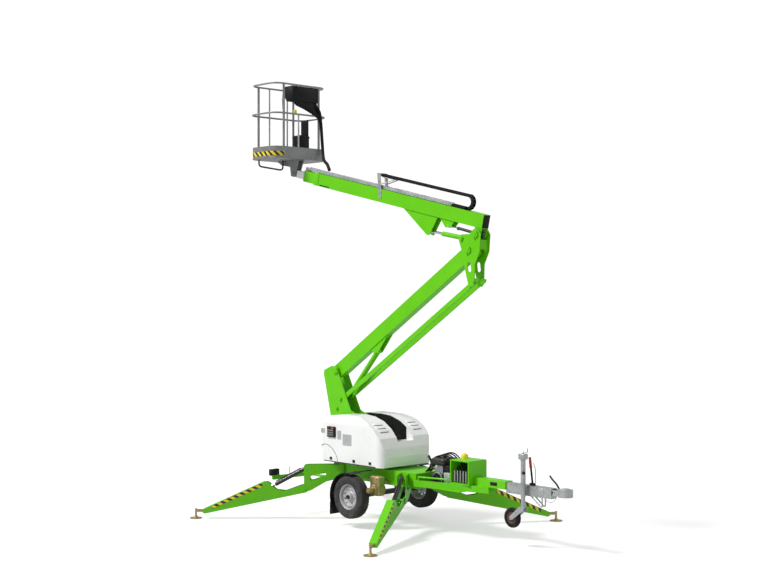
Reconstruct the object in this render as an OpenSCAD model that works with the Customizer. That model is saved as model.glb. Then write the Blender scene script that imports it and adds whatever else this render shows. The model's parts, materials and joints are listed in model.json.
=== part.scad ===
// Trailer mounted articulated boom lift, standing on its four outriggers.
// +X points forward to the tow hitch, +Y to the left, Z = 0 is the ground.

/* [Trailer] */
// Height of the chassis box's lower face over the ground
chassis_z = 640; // [600:5:680]
// Depth of the chassis box
chassis_h = 220; // [180:5:240]
// Width of the chassis box
chassis_w = 660; // [560:10:700]
// Front end of the chassis box, ahead of the slew axis
chassis_front = 1250; // [1200:10:1300]
// Rear end of the chassis box, behind the slew axis
chassis_back = 560; // [500:10:620]
// Distance of the axle ahead of the slew axis
axle_x = 290; // [200:10:350]
// Height of the wheel centres, clear of the ground on the outriggers
axle_z = 465; // [440:5:500]
// Distance between the middles of the two tyres
track_w = 1460; // [1400:10:1520]
// Outer diameter of a road tyre
tyre_d = 650; // [600:10:680]
// Width of a road tyre
tyre_w = 175; // [155:5:195]
// Outer diameter of a road wheel's rim
rim_d = 375; // [350:5:400]
// Nose of the tow hitch, ahead of the slew axis
nose_x = 3850; // [3700:10:4000]

/* [Outriggers] */
// Height of an outrigger's hinge
leg_hinge_z = 474; // [460:1:500]
// Horizontal reach from an outrigger's hinge to its foot
leg_reach = 1700; // [1650:10:1750]
// Width of an outrigger leg
leg_w = 110; // [90:5:130]
// Radius of an outrigger's foot pad
pad_r = 95; // [70:5:120]
// Radius of an outrigger cylinder's barrel
leg_barrel_r = 32; // [24:1:36]
// Radius of an outrigger cylinder's rod
leg_rod_r = 18; // [12:1:22]

/* [Slewing tower] */
// Height of the covers' lower edge
cover_z = 900; // [890:5:920]
// Width over the two covers
cover_w = 1060; // [1000:10:1120]
// Width of the trough between the covers
trough_w = 330; // [300:5:360]
// Radius of the slew ring
ring_r = 250; // [200:10:280]

/* [Booms] */
// Width of the lower boom
lower_w = 130; // [110:5:140]
// Depth of the lower boom
lower_h = 210; // [190:5:220]
// Width of the upper boom's outer section
upper_w = 140; // [130:5:150]
// Depth of the upper boom's outer section
upper_h = 200; // [180:5:210]
// Wall of the upper boom's outer section
upper_wall = 8; // [5:1:12]
// Running gap round the sliding inner section
fly_gap = 3; // [2:0.5:5]
// Outside distance between the tower's or the knuckle's two plates
plate_gap = 188; // [180:2:200]
// Thickness of the tower and knuckle plates
plate_t = 12; // [8:1:16]
// Radius of the boom pins
pin_r = 30; // [22:1:34]
// Radial running clearance at the pins
pin_gap = 0.05; // [0.02:0.01:0.1]

/* [Basket] */
// Height of the basket floor's underside
floor_z = 5660; // [5640:5:5700]
// Basket size along X
basket_x = 700; // [600:10:750]
// Basket size along Y
basket_y = 1130; // [1000:10:1200]
// Corner radius of the basket
basket_r = 180; // [120:10:220]
// Height of the top rail's middle over the floor's underside
rail_h = 1210; // [1100:10:1250]
// Radius of the rail tubes
rail_r = 15; // [12:1:18]

/* [Hidden] */
$fn = 48;

green = "limegreen";
white = "white";
steel = "silver";
black = "dimgray";
bronze = "darkkhaki";

// Middle of the basket, and the rearmost face of its rails, from the slew axis
basket_mid = -2070;
// The top rail stands this far inside the floor's edge, the middle rail reaches it
rail_inset = 22;
rear_x = basket_mid - basket_x / 2 - rail_r;
// The origin lies under the middle of the whole machine
slew_x = -(nose_x + rear_x) / 2;

// Boom pivots as [x, z] from the slew axis: tower pins, knuckle pins, cylinder pins
tower_top = [-760, 2260];
tower_tie = [-650, 1820];
knuckle_low = [2080, 4100];
knuckle_tie = knuckle_low + tower_tie - tower_top;
knuckle_top = [2220, 4320];
lower_cyl_base = [-735, 1670];
lower_cyl_top = [100, 2600];
upper_cyl_base = [1950, 4270];
upper_cyl_top = [1240, 4395];
boom_rise = atan2(knuckle_low[1] - tower_top[1], knuckle_low[0] - tower_top[0]);
upper_rise = 12.7;
// Upper boom's middle line over its pivot, and places along it from the pivot
upper_off = 194;
upper_back = -60;
upper_front = 3690;
fly_front = 3960;
head_pin = fly_front + 290;
head_w = 80;

// Every piece is placed from the slew axis
module at_slew(c) {
    color(c) translate([slew_x, 0, 0]) children();
}

// A flat plate of outline pts in the XZ plane, with its middle at y
module plate(pts, y, t) {
    translate([0, y + t / 2, 0]) rotate([90, 0, 0]) linear_extrude(t) polygon(pts);
}

// A round bar along Y at the [x, z] place p
module cross_bar(p, r, len, y = 0) {
    translate([p[0], y + len / 2, p[1]]) rotate([90, 0, 0]) cylinder(r = r, h = len);
}

// A round ended slot along Y from the [x, z] place a to b
module slot(a, b, r, len, y) {
    n = r * [a[1] - b[1], b[0] - a[0]] / norm(b - a);
    cross_bar(a, r, len, y);
    cross_bar(b, r, len, y);
    plate([a + n, b + n, b - n, a - n], y, len);
}

// Children drawn along +X from the [x, z] place p, tilted up by rise degrees
module along(p, rise) {
    translate([p[0], 0, p[1]]) rotate([0, -rise, 0]) children();
}

// A box from x0 to x1 with width w and depth h about the X axis
module beam(x0, x1, w, h) {
    translate([x0, -w / 2, -h / 2]) cube([x1 - x0, w, h]);
}

// A round bar between two points
module strut(a, b, r) {
    d = b - a;
    translate(a) rotate([0, acos(d[2] / norm(d)), atan2(d[1], d[0])]) cylinder(r = r, h = norm(d));
}

function rise_of(a, b) = atan2(b[1] - a[1], b[0] - a[0]);

// Outrigger table: hinge x, hinge y, heading of the leg in degrees
leg_rear = [-762, 737, 135.9];
leg_front = [1110, 490, 58.2];
LEGS = [[leg_rear[0], -leg_rear[1], -leg_rear[2]], leg_rear,
    [leg_front[0], -leg_front[1], -leg_front[2]], leg_front];
// Cylinder pins of a leg as [x, z] from the hinge outwards
leg_cyl_base = [-15, 790];
leg_cyl_top = [850, 325];
leg_lug_gap = 5;
leg_pin_r = 22;
cyl_pin_r = 18;
rod_gap = 0.5;

module leg_place(i) {
    translate([LEGS[i][0], LEGS[i][1], 0]) rotate([0, 0, LEGS[i][2]]) children();
}

// Side outlines of a leg and of its bracket, as [x, z] from the hinge outwards
leg_tip = leg_reach - 115;
leg_side = [[-45, 440], [-20, 418], [leg_tip - 32, 80], [leg_tip, 95], [leg_tip, 146], [640, 578], [565, 570],
    [440, 455], [300, 440], [60, 528], [0, 532], [-45, 505]];
leg_hollow = [[-60, 437], [1000, 209], [1000, 400], [640, 564], [600, 563], [600, 700], [-60, 700]];
function bracket_side(root) = [[20, 830], [-30, 845], [-315, 850], [-root, 850], [-root, 655],
    [-330, 590], [-94, 452], [0, 425], [45, 440], [50, 500], [15, 560], [15, 780]];
BRACKET_ROOTS = [600, 600, 330, 330];

module leg_bracket(root) {
    side_y = leg_w / 2 + leg_lug_gap + 5;
    for (s = [-1, 1])
        difference() {
            plate(bracket_side(root), s * side_y, 10);
            slot([-110, 640], [-290, 700], 36, 40, s * side_y);
        }
    cross_bar([0, leg_hinge_z], leg_pin_r, 2 * side_y + 20);
    cross_bar(leg_cyl_base, cyl_pin_r, 2 * side_y + 20);
}

module chassis_frame() at_slew(green) {
    difference() {
        union() {
            translate([-chassis_back, -chassis_w / 2, chassis_z])
                cube([chassis_back + chassis_front, chassis_w, chassis_h]);
            translate([0, 0, chassis_z + 40]) cylinder(r = ring_r, h = chassis_h + ring_t - 40);
        }
        translate([0, 0, chassis_z + 60]) cylinder(r = spigot_r + rod_gap, h = chassis_h);
    }
    for (i = [0:3]) leg_place(i) leg_bracket(BRACKET_ROOTS[i]);
}

// The tower turns on a spigot in the slew ring, its tray clear over the ring
ring_t = 15;
spigot_r = 120;
tray_z = chassis_z + chassis_h + ring_t + 5;

coupling_x = 2750;
bar_z = 680;
bar_h = 90;

module drawbar() at_slew(green) {
    for (s = [-1, 1])
        translate([0, 0, bar_z]) linear_extrude(bar_h)
            polygon([[chassis_front, s * 380], [chassis_front, s * 310], [2350, s * 20], [2450, s * 90]]);
    translate([chassis_front, -310, bar_z]) cube([850, 620, 8]);
    translate([2165, -80, bar_z + bar_h - 1]) cube([coupling_x - 2165, 160, 111]);
}

axle_r = 20;

module axle() at_slew(black) {
    translate([axle_x, 0, axle_z]) {
        translate([-35, -track_w / 2 + 160, -35]) cube([70, track_w - 320, 70]);
        for (s = [-1, 1]) {
            translate([-60, s * 250 - 40, 35]) cube([120, 80, chassis_z - axle_z - 35]);
            cross_bar([0, 0], 40, 60, s * (track_w / 2 - 140));
            cross_bar([0, 0], axle_r, 200, s * (track_w / 2 - 55));
        }
    }
}

module mudguards() at_slew(black) {
    guard_r = tyre_d / 2 + 30;
    for (s = [-1, 1])
        translate([axle_x, 0, axle_z]) {
            translate([0, s * track_w / 2, 0]) rotate([90, 0, 0]) rotate([0, 0, 75])
                translate([0, 0, -110]) rotate_extrude(angle = 130) translate([guard_r, 0]) square([4, 220]);
            translate([-20, min(s * chassis_w / 2, s * (track_w / 2 - 90)), guard_r - 5])
                cube([40, track_w / 2 - 90 - chassis_w / 2, 7]);
        }
}

module light_bar() at_slew(green) {
    translate([-1380, -900, 560]) cube([40, 1800, 60]);
    for (s = [-1, 1]) {
        translate([-1340, s * 200 - 25, 575]) cube([560, 50, 30]);
        translate([-800, s * 200 - 25, 605]) cube([240, 50, 60]);
        translate([-1390, s * 850 - 90, 620]) cube([60, 180, 8]);
    }
}

module rear_lamps() at_slew("orangered") {
    for (s = [-1, 1])
        translate([-1420, s * 850 - 80, 628]) cube([60, 160, 90]);
}

module traction_drives() at_slew(bronze) {
    drive = [645, 590];
    for (s = [-1, 1]) {
        cross_bar(drive, 75, 190, s * 530);
        cross_bar(drive, 40, 100, s * 675);
        translate([drive[0] - 45, min(s * chassis_w / 2, s * 440), 655]) cube([90, 110, 45]);
    }
}

module power_pack() at_slew(black) {
    translate([1350, -168, bar_z + 8]) cube([400, 336, 330]);
    cross_bar([1550, 1070], 60, 240);
}

module pack_box() at_slew(green) {
    translate([1800, -190, bar_z + bar_h]) difference() {
        cube([360, 380, 340]);
        translate([15, -1, 15]) cube([330, 340, 310]);
    }
}

module guard_rails() at_slew(green) {
    for (s = [-1, 1]) {
        for (p = [[1300, 330], [1770, 215]])
            translate([p[0], s * p[1], bar_z + bar_h]) cylinder(r = 12, h = 60);
        strut([1300, s * 330, bar_z + bar_h + 50], [1770, s * 215, bar_z + bar_h + 50], 12);
    }
}

module coupling() at_slew(steel) {
    ball_x = nose_x - 100;
    translate([coupling_x, -60, 725]) cube([800, 120, 140]);
    difference() {
        union() {
            translate([coupling_x + 800, -45, 770]) cube([ball_x - coupling_x - 800, 90, 80]);
            translate([ball_x, 0, 770]) cylinder(r = 100, h = 100);
        }
        translate([ball_x, 0, 760]) cylinder(r = 25.5, h = 60);
    }
}

jockey = [3110, -120];
jockey_tube_r = 30;
jockey_trail = 190;
jockey_wheel_r = 140;
jockey_wheel_z = 410;

module jockey_post() at_slew(steel) {
    translate([jockey[0], jockey[1], 0]) {
        difference() {
            union() {
                translate([0, 0, 720]) cylinder(r = jockey_tube_r + 5, h = 540);
                translate([-40, 20, 740]) cube([80, 40, 100]);
            }
            translate([0, 0, 719]) cylinder(r = jockey_tube_r + rod_gap, h = 500);
        }
        translate([-45, -45, 1230]) cube([90, 90, 70]);
    }
}

module jockey_leg() at_slew(steel) translate([jockey[0], jockey[1], 600]) difference() {
    cylinder(r = jockey_tube_r, h = 480);
    translate([0, 0, -1]) cylinder(r = 12 + pin_gap, h = 20);
}

module jockey_fork() at_slew(steel) {
    translate([jockey[0], jockey[1], 0]) {
        translate([0, 0, 570]) cylinder(r = 35, h = 29);
        translate([0, 0, 570]) cylinder(r = 12, h = 46);
        for (s = [-1, 1])
            plate([[40, 580], [-40, 580], [-jockey_trail - 25, 425], [-jockey_trail - 25, 385],
                [-jockey_trail + 25, 385], [40, 540]], s * 38, 6);
        translate([-35, -41, 565]) cube([70, 82, 8]);
        cross_bar([-jockey_trail, jockey_wheel_z], 10, 82);
    }
}

module jockey_wheel() at_slew(black) {
    translate([jockey[0] - jockey_trail, jockey[1], jockey_wheel_z]) rotate([90, 0, 0])
        rotate_extrude() polygon([[10.05, -28], [60, -28], [60, -25], [120, -25], [jockey_wheel_r, -10],
            [jockey_wheel_r, 10], [120, 25], [60, 25], [60, 28], [10.05, 28]]);
}

module brake_lever() at_slew(black) {
    translate([3120, 0, 865]) cube([80, 40, 30]);
    strut([3160, 20, 880], [3110, 20, 1240], 14);
}

// Half outline of a tyre as [radius, y], with flat tread and bulged walls
tyre_half = [[rim_d / 2, -0.42], [0.78 * tyre_d / 2, -0.5], [0.93 * tyre_d / 2, -0.46],
    [tyre_d / 2, -0.36], [tyre_d / 2, 0.36], [0.93 * tyre_d / 2, 0.46], [0.78 * tyre_d / 2, 0.5],
    [rim_d / 2, 0.42]];

module road_tyre(s) {
    translate([axle_x, s * track_w / 2, axle_z]) rotate([90, 0, 0])
        rotate_extrude() polygon([for (p = tyre_half) [p[0], p[1] * tyre_w]]);
}

module road_rim(s) {
    translate([axle_x, s * track_w / 2, axle_z]) rotate([s * 90, 0, 0])
        rotate_extrude() polygon([[axle_r + pin_gap, -60], [55, -60], [70, -20], [150, -30],
            [rim_d / 2 - 15, -70], [rim_d / 2, -70], [rim_d / 2, 70], [rim_d / 2 - 8, 70],
            [rim_d / 2 - 20, -10], [80, 0], [60, -5], [45, -30], [axle_r + pin_gap, -30]]);
}

module tyre_near() at_slew(black) road_tyre(-1);
module tyre_far() at_slew(black) road_tyre(1);
module rim_near() at_slew(steel) road_rim(-1);
module rim_far() at_slew(steel) road_rim(1);

module leg(i) at_slew(green) leg_place(i) {
    difference() {
        plate(leg_side, 0, leg_w);
        plate(leg_hollow, 0, leg_w - 16);
        cross_bar([0, leg_hinge_z], leg_pin_r + pin_gap, leg_w + 2);
    }
    for (s = [-1, 1])
        cross_bar(leg_cyl_top, 15, 18, s * (leg_w / 2 - 16));
}

module foot(i) at_slew(bronze) leg_place(i) {
    translate([leg_tip, -20, 100]) cube([leg_reach - leg_tip, 40, 40]);
    translate([leg_reach, 0, 12]) cylinder(r = 16, h = 140);
    translate([leg_reach, 0, 0]) cylinder(r = pad_r, h = 12);
    translate([leg_reach, 0, 0]) cylinder(r1 = 40, r2 = 20, h = 45);
}

leg_cyl_rise = rise_of(leg_cyl_base, leg_cyl_top);
leg_cyl_len = norm(leg_cyl_top - leg_cyl_base);
leg_barrel_len = 540;
leg_rod_start = leg_barrel_len - 70;

module leg_barrel(i) at_slew(black) leg_place(i) along(leg_cyl_base, leg_cyl_rise)
    barrel(leg_barrel_len, leg_barrel_r, 34, 60, leg_rod_r, cyl_pin_r + pin_gap);

module leg_rod(i) at_slew(steel) leg_place(i) along(leg_cyl_base, leg_cyl_rise)
    rod(leg_rod_start, leg_cyl_len, leg_rod_r, 26, 50);

module leg_rear_near() leg(0);
module leg_rear_far() leg(1);
module leg_front_near() leg(2);
module leg_front_far() leg(3);
module foot_rear_near() foot(0);
module foot_rear_far() foot(1);
module foot_front_near() foot(2);
module foot_front_far() foot(3);
module leg_barrel_rear_near() leg_barrel(0);
module leg_barrel_rear_far() leg_barrel(1);
module leg_barrel_front_near() leg_barrel(2);
module leg_barrel_front_far() leg_barrel(3);
module leg_rod_rear_near() leg_rod(0);
module leg_rod_rear_far() leg_rod(1);
module leg_rod_front_near() leg_rod(2);
module leg_rod_front_far() leg_rod(3);

tower_side = [[-1060, 2200], [-1050, 2260], [-880, 2330], [-740, 2330], [-690, 2180], [-420, 1655],
    [160, 1444], [450, 1200], [450, cover_z], [-600, cover_z], [-887, 1528]];
plate_y = plate_gap / 2 + plate_t / 2;

module tower() at_slew(green) {
    for (s = [-1, 1]) {
        plate(tower_side, s * plate_y, plate_t);
        cross_bar(tower_tie, tie_pin_r, 60, s * (plate_y - 5));
        cross_bar(lower_cyl_base, 15, 44, s * (plate_y - 20));
    }
    cross_bar(tower_top, pin_r, 2 * plate_y + 20);
    translate([-600, -400, tray_z]) cube([1250, 800, cover_z - tray_z]);
    translate([-600, -plate_y, cover_z - 1]) cube([1050, 2 * plate_y, 60]);
    translate([0, 0, tray_z - 90]) cylinder(r = spigot_r, h = 100);
}

// Side outline of the covers, as [x, z]
cover_side = [[-600, cover_z], [-690, 1150], [-695, 1300], [-670, 1440], [-600, 1540], [-480, 1600],
    [-270, 1625], [0, 1630], [200, 1612], [400, 1550], [560, 1450], [670, 1330], [735, 1180],
    [750, 1050], [720, cover_z]];

module covers() at_slew(white) {
    front_lip = 1270;
    difference() {
        intersection() {
            plate(cover_side, 0, cover_w);
            translate([-1000, 0, cover_z]) rotate([90, 0, 90]) linear_extrude(2000)
                translate([0, 180]) rounded(cover_w, 1100, 150);
            translate([25, 0, cover_z]) linear_extrude(800) rounded(1450, cover_w, 140);
        }
        translate([-1000, -trough_w / 2, cover_z - 1]) cube([1550, trough_w, 900]);
        translate([0, -trough_w / 2, front_lip]) cube([1000, trough_w, 900]);
    }
}

module ground_panel() at_slew(black) {
    translate([-470, -cover_w / 2 - 20, 1280]) cube([180, 20, 160]);
}

lower_len = norm(knuckle_low - tower_top);

module lower_boom() at_slew(green) {
    difference() {
        union() {
            along(tower_top, boom_rise) {
                beam(0, lower_len, lower_w, lower_h);
                for (x = [0, lower_len])
                    translate([x, 0, 0]) rotate([90, 0, 0])
                        cylinder(r = lower_h / 2, h = lower_w, center = true);
            }
            for (s = [-1, 1])
                plate([[-60, 2620], [60, 2560], [140, 2575], [440, 2950], [300, 3010], [-60, 2700]],
                    s * 49, 8);
        }
        along(tower_top, boom_rise) beam(150, lower_len - 150, lower_w - 16, lower_h - 16);
        cross_bar(tower_top, pin_r + pin_gap, lower_w + 10);
        cross_bar(knuckle_low, pin_r + pin_gap, lower_w + 10);
    }
    cross_bar(lower_cyl_top, cyl_pin_r, 106);
}

tie_h = 70;
tie_w = 30;
tie_y = 73;
tie_pin_r = 15;

module tie_rods() at_slew(green) {
    for (s = [-1, 1])
        translate([0, s * tie_y, 0]) along(tower_tie, boom_rise) rotate([90, 0, 0])
            linear_extrude(tie_w, center = true) difference() {
                union() {
                    translate([0, -tie_h / 2]) square([lower_len, tie_h]);
                    for (x = [0, lower_len]) translate([x, 0]) circle(r = tie_h / 2 + 4);
                }
                for (x = [0, lower_len]) translate([x, 0]) circle(r = tie_pin_r + pin_gap);
            }
}

lower_cyl_rise = rise_of(lower_cyl_top, lower_cyl_base);
lower_cyl_len = norm(lower_cyl_top - lower_cyl_base);

// Cylinder barrel drawn from its eye, and the rod that slides in it
module barrel(len, r, eye_r, eye_w, rod_r, pin) {
    difference() {
        union() {
            rotate([90, 0, 0]) cylinder(r = eye_r, h = eye_w, center = true);
            rotate([0, 90, 0]) cylinder(r = r, h = len);
        }
        rotate([90, 0, 0]) cylinder(r = pin, h = eye_w + 2 * r, center = true);
        translate([pin + 20, 0, 0]) rotate([0, 90, 0]) cylinder(r = rod_r + rod_gap, h = len);
    }
}

module rod(start, len, r, eye_r, eye_w) {
    translate([start, 0, 0]) rotate([0, 90, 0]) cylinder(r = r, h = len - start - eye_r + 10);
    translate([len, 0, 0]) rotate([90, 0, 0]) cylinder(r = eye_r, h = eye_w, center = true);
}

module lower_barrel() at_slew(green) along(lower_cyl_top, lower_cyl_rise)
    barrel(760, 42, 40, 80, 28, cyl_pin_r + pin_gap);
module lower_rod() at_slew(steel) along(lower_cyl_top, lower_cyl_rise)
    rod(410, lower_cyl_len, 28, 38, 70);

knuckle_side = [[2150, 3580], [2190, 3620], [2200, 3900], [2290, 4080], [2310, 4320], [2260, 4400],
    [2180, 4400], [2100, 4330], [1950, 4330], [1890, 4290], [1895, 4230], [1960, 4060], [1990, 3900],
    [2080, 3590]];

module knuckle() at_slew(green) {
    for (s = [-1, 1]) {
        difference() {
            plate(knuckle_side, s * plate_y, plate_t);
            slot([2090, 3900], [2100, 3820], 32, 40, s * plate_y);
        }
        cross_bar(knuckle_tie, tie_pin_r, 60, s * (plate_y - 5));
    }
    for (p = [knuckle_low, knuckle_top]) cross_bar(p, pin_r, 2 * plate_y + 20);
    cross_bar(upper_cyl_base, cyl_pin_r, 2 * plate_y);
    translate([2260, -plate_y, 4110]) cube([12, 2 * plate_y, 135]);
}

upper_cyl_rise = rise_of(upper_cyl_base, upper_cyl_top);
upper_cyl_len = norm(upper_cyl_top - upper_cyl_base);

module upper_barrel() at_slew(green) along(upper_cyl_base, upper_cyl_rise)
    barrel(480, 35, 38, 50, 20, cyl_pin_r + pin_gap);
module upper_rod() at_slew(steel) along(upper_cyl_base, upper_cyl_rise)
    rod(70, upper_cyl_len, 20, 30, 50);

// Children drawn with +X along the upper boom from its pivot, +Z out of its top
module on_upper() {
    translate([knuckle_top[0], 0, knuckle_top[1]]) rotate([0, upper_rise, 0]) mirror([1, 0, 0]) children();
}

module upper_boom() at_slew(green) {
    on_upper() {
        difference() {
            union() {
                translate([0, 0, upper_off]) beam(upper_back, upper_front, upper_w, upper_h);
                for (s = [-1, 1])
                    plate([[-60, 110], [80, 110], [45, -35], [0, -50], [-45, -35]], s * 60, 16);
                for (s = [-1, 1])
                    plate([[820, 100], [840, 95], [960, -200], [1010, -200], [1600, 110]], s * 50, 12);
            }
            translate([0, 0, upper_off]) {
                beam(upper_back + 20, upper_front - 90, upper_w - 2 * upper_wall, upper_h - 2 * upper_wall);
                beam(upper_back + 20, upper_front + 1, fly_w + 2 * pad_gap, fly_h + 2 * pad_gap);
            }
            cross_bar([0, 0], pin_r + pin_gap, upper_w + 10);
        }
    }
    for (s = [-1, 1]) cross_bar(upper_cyl_top, 14, 20, s * 40);
}

// Slide pads in the outer boom's mouth hold the fly boom with this gap
pad_gap = 0.1;
fly_w = upper_w - 2 * upper_wall - 2 * fly_gap;
fly_h = upper_h - 2 * upper_wall - 2 * fly_gap;

module fly_boom() at_slew(green) on_upper() translate([0, 0, upper_off]) difference() {
    beam(400, fly_front, fly_w, fly_h);
    beam(399, fly_front + 1, fly_w - 12, fly_h - 12);
}

module push_tray() at_slew(steel) on_upper() {
    translate([0, 0, upper_off + upper_h / 2 + 16]) beam(chain_tail + 6, fly_front, 90, 20);
    translate([0, 0, upper_off]) {
        translate([fly_front - 60, -45, fly_h / 2]) cube([60, 90, 30]);
    }
}

module boom_head() at_slew(steel) on_upper() translate([0, 0, upper_off]) difference() {
    union() {
        beam(fly_front, fly_front + 12, fly_w, fly_h);
        beam(fly_front, head_pin, head_w, 110);
        translate([head_pin, 0, 0]) rotate([90, 0, 0]) cylinder(r = 60, h = head_w, center = true);
    }
    translate([head_pin, 0, 0]) rotate([90, 0, 0]) cylinder(r = 25 + pin_gap, h = head_w + 2, center = true);
}

// The basket's mount turns on the pin at the boom's head
head_at = [knuckle_top[0] - head_pin * cos(upper_rise) + upper_off * sin(upper_rise),
    knuckle_top[1] + head_pin * sin(upper_rise) + upper_off * cos(upper_rise)];

module basket_mount() at_slew(steel) {
    drop = floor_z - head_at[1];
    for (s = [-1, 1])
        translate([head_at[0], 0, head_at[1]])
            plate([[-60, -40], [0, -62], [55, -30], [62, 20], [150, drop], [-420, drop], [-300, drop - 70],
                [-80, drop - 110]], s * (head_w / 2 + 11), 12);
    cross_bar(head_at, 25, head_w + 60);
    translate([head_at[0] - 420, -head_w / 2 - 17, floor_z - 12]) cube([570, head_w + 34, 12]);
}

module hose_chain() at_slew(black) on_upper() translate([0, chain_w / 2, 0]) rotate([90, 0, 0])
    linear_extrude(chain_w) chain_outline();

chain_w = 64;
chain_t = 45;
chain_r = 115;
chain_back = 330;
chain_tail = 620;
chain_end = 2180;
chain_z = upper_off + upper_h / 2;

module chain_outline() {
    mid = chain_z + chain_r;
    translate([chain_back, 0]) difference() {
        union() {
            translate([0, mid]) circle(r = chain_r);
            translate([0, mid + chain_r - chain_t]) square([chain_end - chain_back, chain_t]);
            translate([0, mid - chain_r]) square([chain_tail - chain_back, chain_t]);
        }
        translate([0, mid]) circle(r = chain_r - chain_t);
        translate([0, mid - chain_r + chain_t]) square([3000, 2 * (chain_r - chain_t)]);
    }
}

module chain_bracket() at_slew(steel) on_upper() {
    top = chain_z + 2 * chain_r;
    for (s = [-1, 1]) {
        plate([[chain_end - 120, upper_off - 40], [chain_end - 60, upper_off - 40],
            [chain_end + 60, top], [chain_end - 20, top]], s * (upper_w / 2 + 3), 6);
    }
    translate([chain_end, -upper_w / 2 - 6, top - chain_t]) cube([40, upper_w + 12, chain_t]);
}

// A raised deck panel lies between the posts and the tool bin
bin_y = 250;
deck_t = 3;

module basket_floor() at_slew(steel) {
    translate([basket_mid, 0, floor_z]) {
        linear_extrude(30) rounded(basket_x, basket_y, basket_r);
        translate([-basket_x / 2 + 60, -basket_y / 2 + 65, 30])
            cube([basket_x - 120, bin_y - 80 + basket_y / 2, deck_t]);
        linear_extrude(190) difference() {
            rounded(basket_x, basket_y, basket_r);
            rounded(basket_x - 8, basket_y - 8, basket_r - 4);
        }
    }
}

// A rectangle with round corners about the origin
module rounded(x, y, r) {
    square([x - 2 * r, y], center = true);
    square([x, y - 2 * r], center = true);
    for (i = [-1, 1], j = [-1, 1]) translate([i * (x / 2 - r), j * (y / 2 - r)]) circle(r = r);
}

// A closed rail of round tube with round corners
module ring_rail(x, y, r, t) {
    for (i = [-1, 1]) {
        translate([i * x / 2, 0, 0]) rotate([90, 0, 0]) cylinder(r = t, h = y - 2 * r, center = true);
        translate([0, i * y / 2, 0]) rotate([0, 90, 0]) cylinder(r = t, h = x - 2 * r, center = true);
    }
    for (k = [0:3])
        translate([(k == 0 || k == 3 ? 1 : -1) * (x / 2 - r), (k < 2 ? 1 : -1) * (y / 2 - r), 0])
            rotate([0, 0, 90 * k]) rotate_extrude(angle = 90) translate([r, 0]) circle(r = t);
}

module basket_rails() at_slew(steel) {
    mid_rail = 730;
    translate([basket_mid, 0, floor_z]) {
        translate([0, 0, rail_h])
            ring_rail(basket_x - 2 * rail_inset, basket_y - 2 * rail_inset, basket_r - rail_inset, rail_r);
        translate([0, 0, mid_rail]) ring_rail(basket_x, basket_y, basket_r, rail_r);
        for (i = [-1, 1], j = [-1, 1])
            translate([i * (basket_x / 2 - rail_inset), j * 370, 30]) cylinder(r = rail_r, h = rail_h - 30);
    }
}

module console() at_slew(black) {
    translate([basket_mid + 90, -190, floor_z + rail_h - rail_r - 250]) cube([250, 540, 250]);
}

module tool_box() at_slew(black) {
    translate([basket_mid - 200, bin_y, floor_z + 30]) cube([200, 200, 420]);
}

module step_bar() at_slew(black) {
    path = [[-2310, -430, floor_z], [-2310, -430, 5560], [-2110, -90, 5500], [-2110, -90, floor_z]];
    for (i = [0:2]) strut(path[i], path[i + 1], 14);
    for (i = [1:2]) translate(path[i]) sphere(r = 17);
}

module hose_sleeve() at_slew(black) {
    path = [[-1757, 310, floor_z + rail_h - rail_r - 250], [-1757, 310, 6560], [-1672, 340, 6460],
        [-1672, 400, 5830], [-1560, 330, 5660], [-1250, 130, 5560], [-1140, 84, 5450]];
    for (i = [0:5]) {
        d = (path[i + 1] - path[i]) / norm(path[i + 1] - path[i]);
        strut(path[i], path[i + 1] + (i < 5 ? 12 : 0) * d, 26, $fn = 8);
    }
}

chassis_frame();
drawbar();
axle();
mudguards();
light_bar();
rear_lamps();
traction_drives();
power_pack();
pack_box();
guard_rails();
coupling();
jockey_post();
brake_lever();
tyre_near();
rim_near();
tyre_far();
rim_far();
jockey_leg();
jockey_fork();
jockey_wheel();
leg_rear_near();
leg_rear_far();
leg_front_near();
leg_front_far();
foot_rear_near();
foot_rear_far();
foot_front_near();
foot_front_far();
leg_barrel_rear_near();
leg_barrel_rear_far();
leg_barrel_front_near();
leg_barrel_front_far();
leg_rod_rear_near();
leg_rod_rear_far();
leg_rod_front_near();
leg_rod_front_far();
tower();
covers();
ground_panel();
lower_boom();
tie_rods();
lower_barrel();
lower_rod();
knuckle();
upper_barrel();
upper_rod();
upper_boom();
hose_chain();
chain_bracket();
fly_boom();
push_tray();
boom_head();
basket_mount();
basket_floor();
basket_rails();
console();
tool_box();
step_bar();
hose_sleeve();
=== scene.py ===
# Trailer boom lift on its four outriggers, dressed for the render.
import json
import math
import bpy
from mathutils import Matrix, Vector


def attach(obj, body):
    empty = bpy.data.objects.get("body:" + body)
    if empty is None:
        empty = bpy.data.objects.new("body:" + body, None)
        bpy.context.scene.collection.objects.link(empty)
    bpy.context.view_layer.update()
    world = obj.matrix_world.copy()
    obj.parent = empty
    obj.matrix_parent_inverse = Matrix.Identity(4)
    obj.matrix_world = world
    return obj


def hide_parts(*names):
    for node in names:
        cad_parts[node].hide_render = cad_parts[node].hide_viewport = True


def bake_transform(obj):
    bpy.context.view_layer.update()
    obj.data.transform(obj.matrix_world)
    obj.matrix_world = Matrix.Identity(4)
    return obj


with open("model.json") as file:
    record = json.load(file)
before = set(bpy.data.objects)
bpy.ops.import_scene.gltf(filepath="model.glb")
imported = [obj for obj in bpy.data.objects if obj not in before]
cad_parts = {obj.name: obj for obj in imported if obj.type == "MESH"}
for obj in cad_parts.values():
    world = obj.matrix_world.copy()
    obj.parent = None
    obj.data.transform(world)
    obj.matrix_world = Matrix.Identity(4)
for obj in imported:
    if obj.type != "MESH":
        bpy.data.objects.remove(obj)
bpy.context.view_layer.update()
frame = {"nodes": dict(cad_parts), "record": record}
nodes = frame["nodes"]
print("frame loaded with", len(nodes), "nodes")

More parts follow.
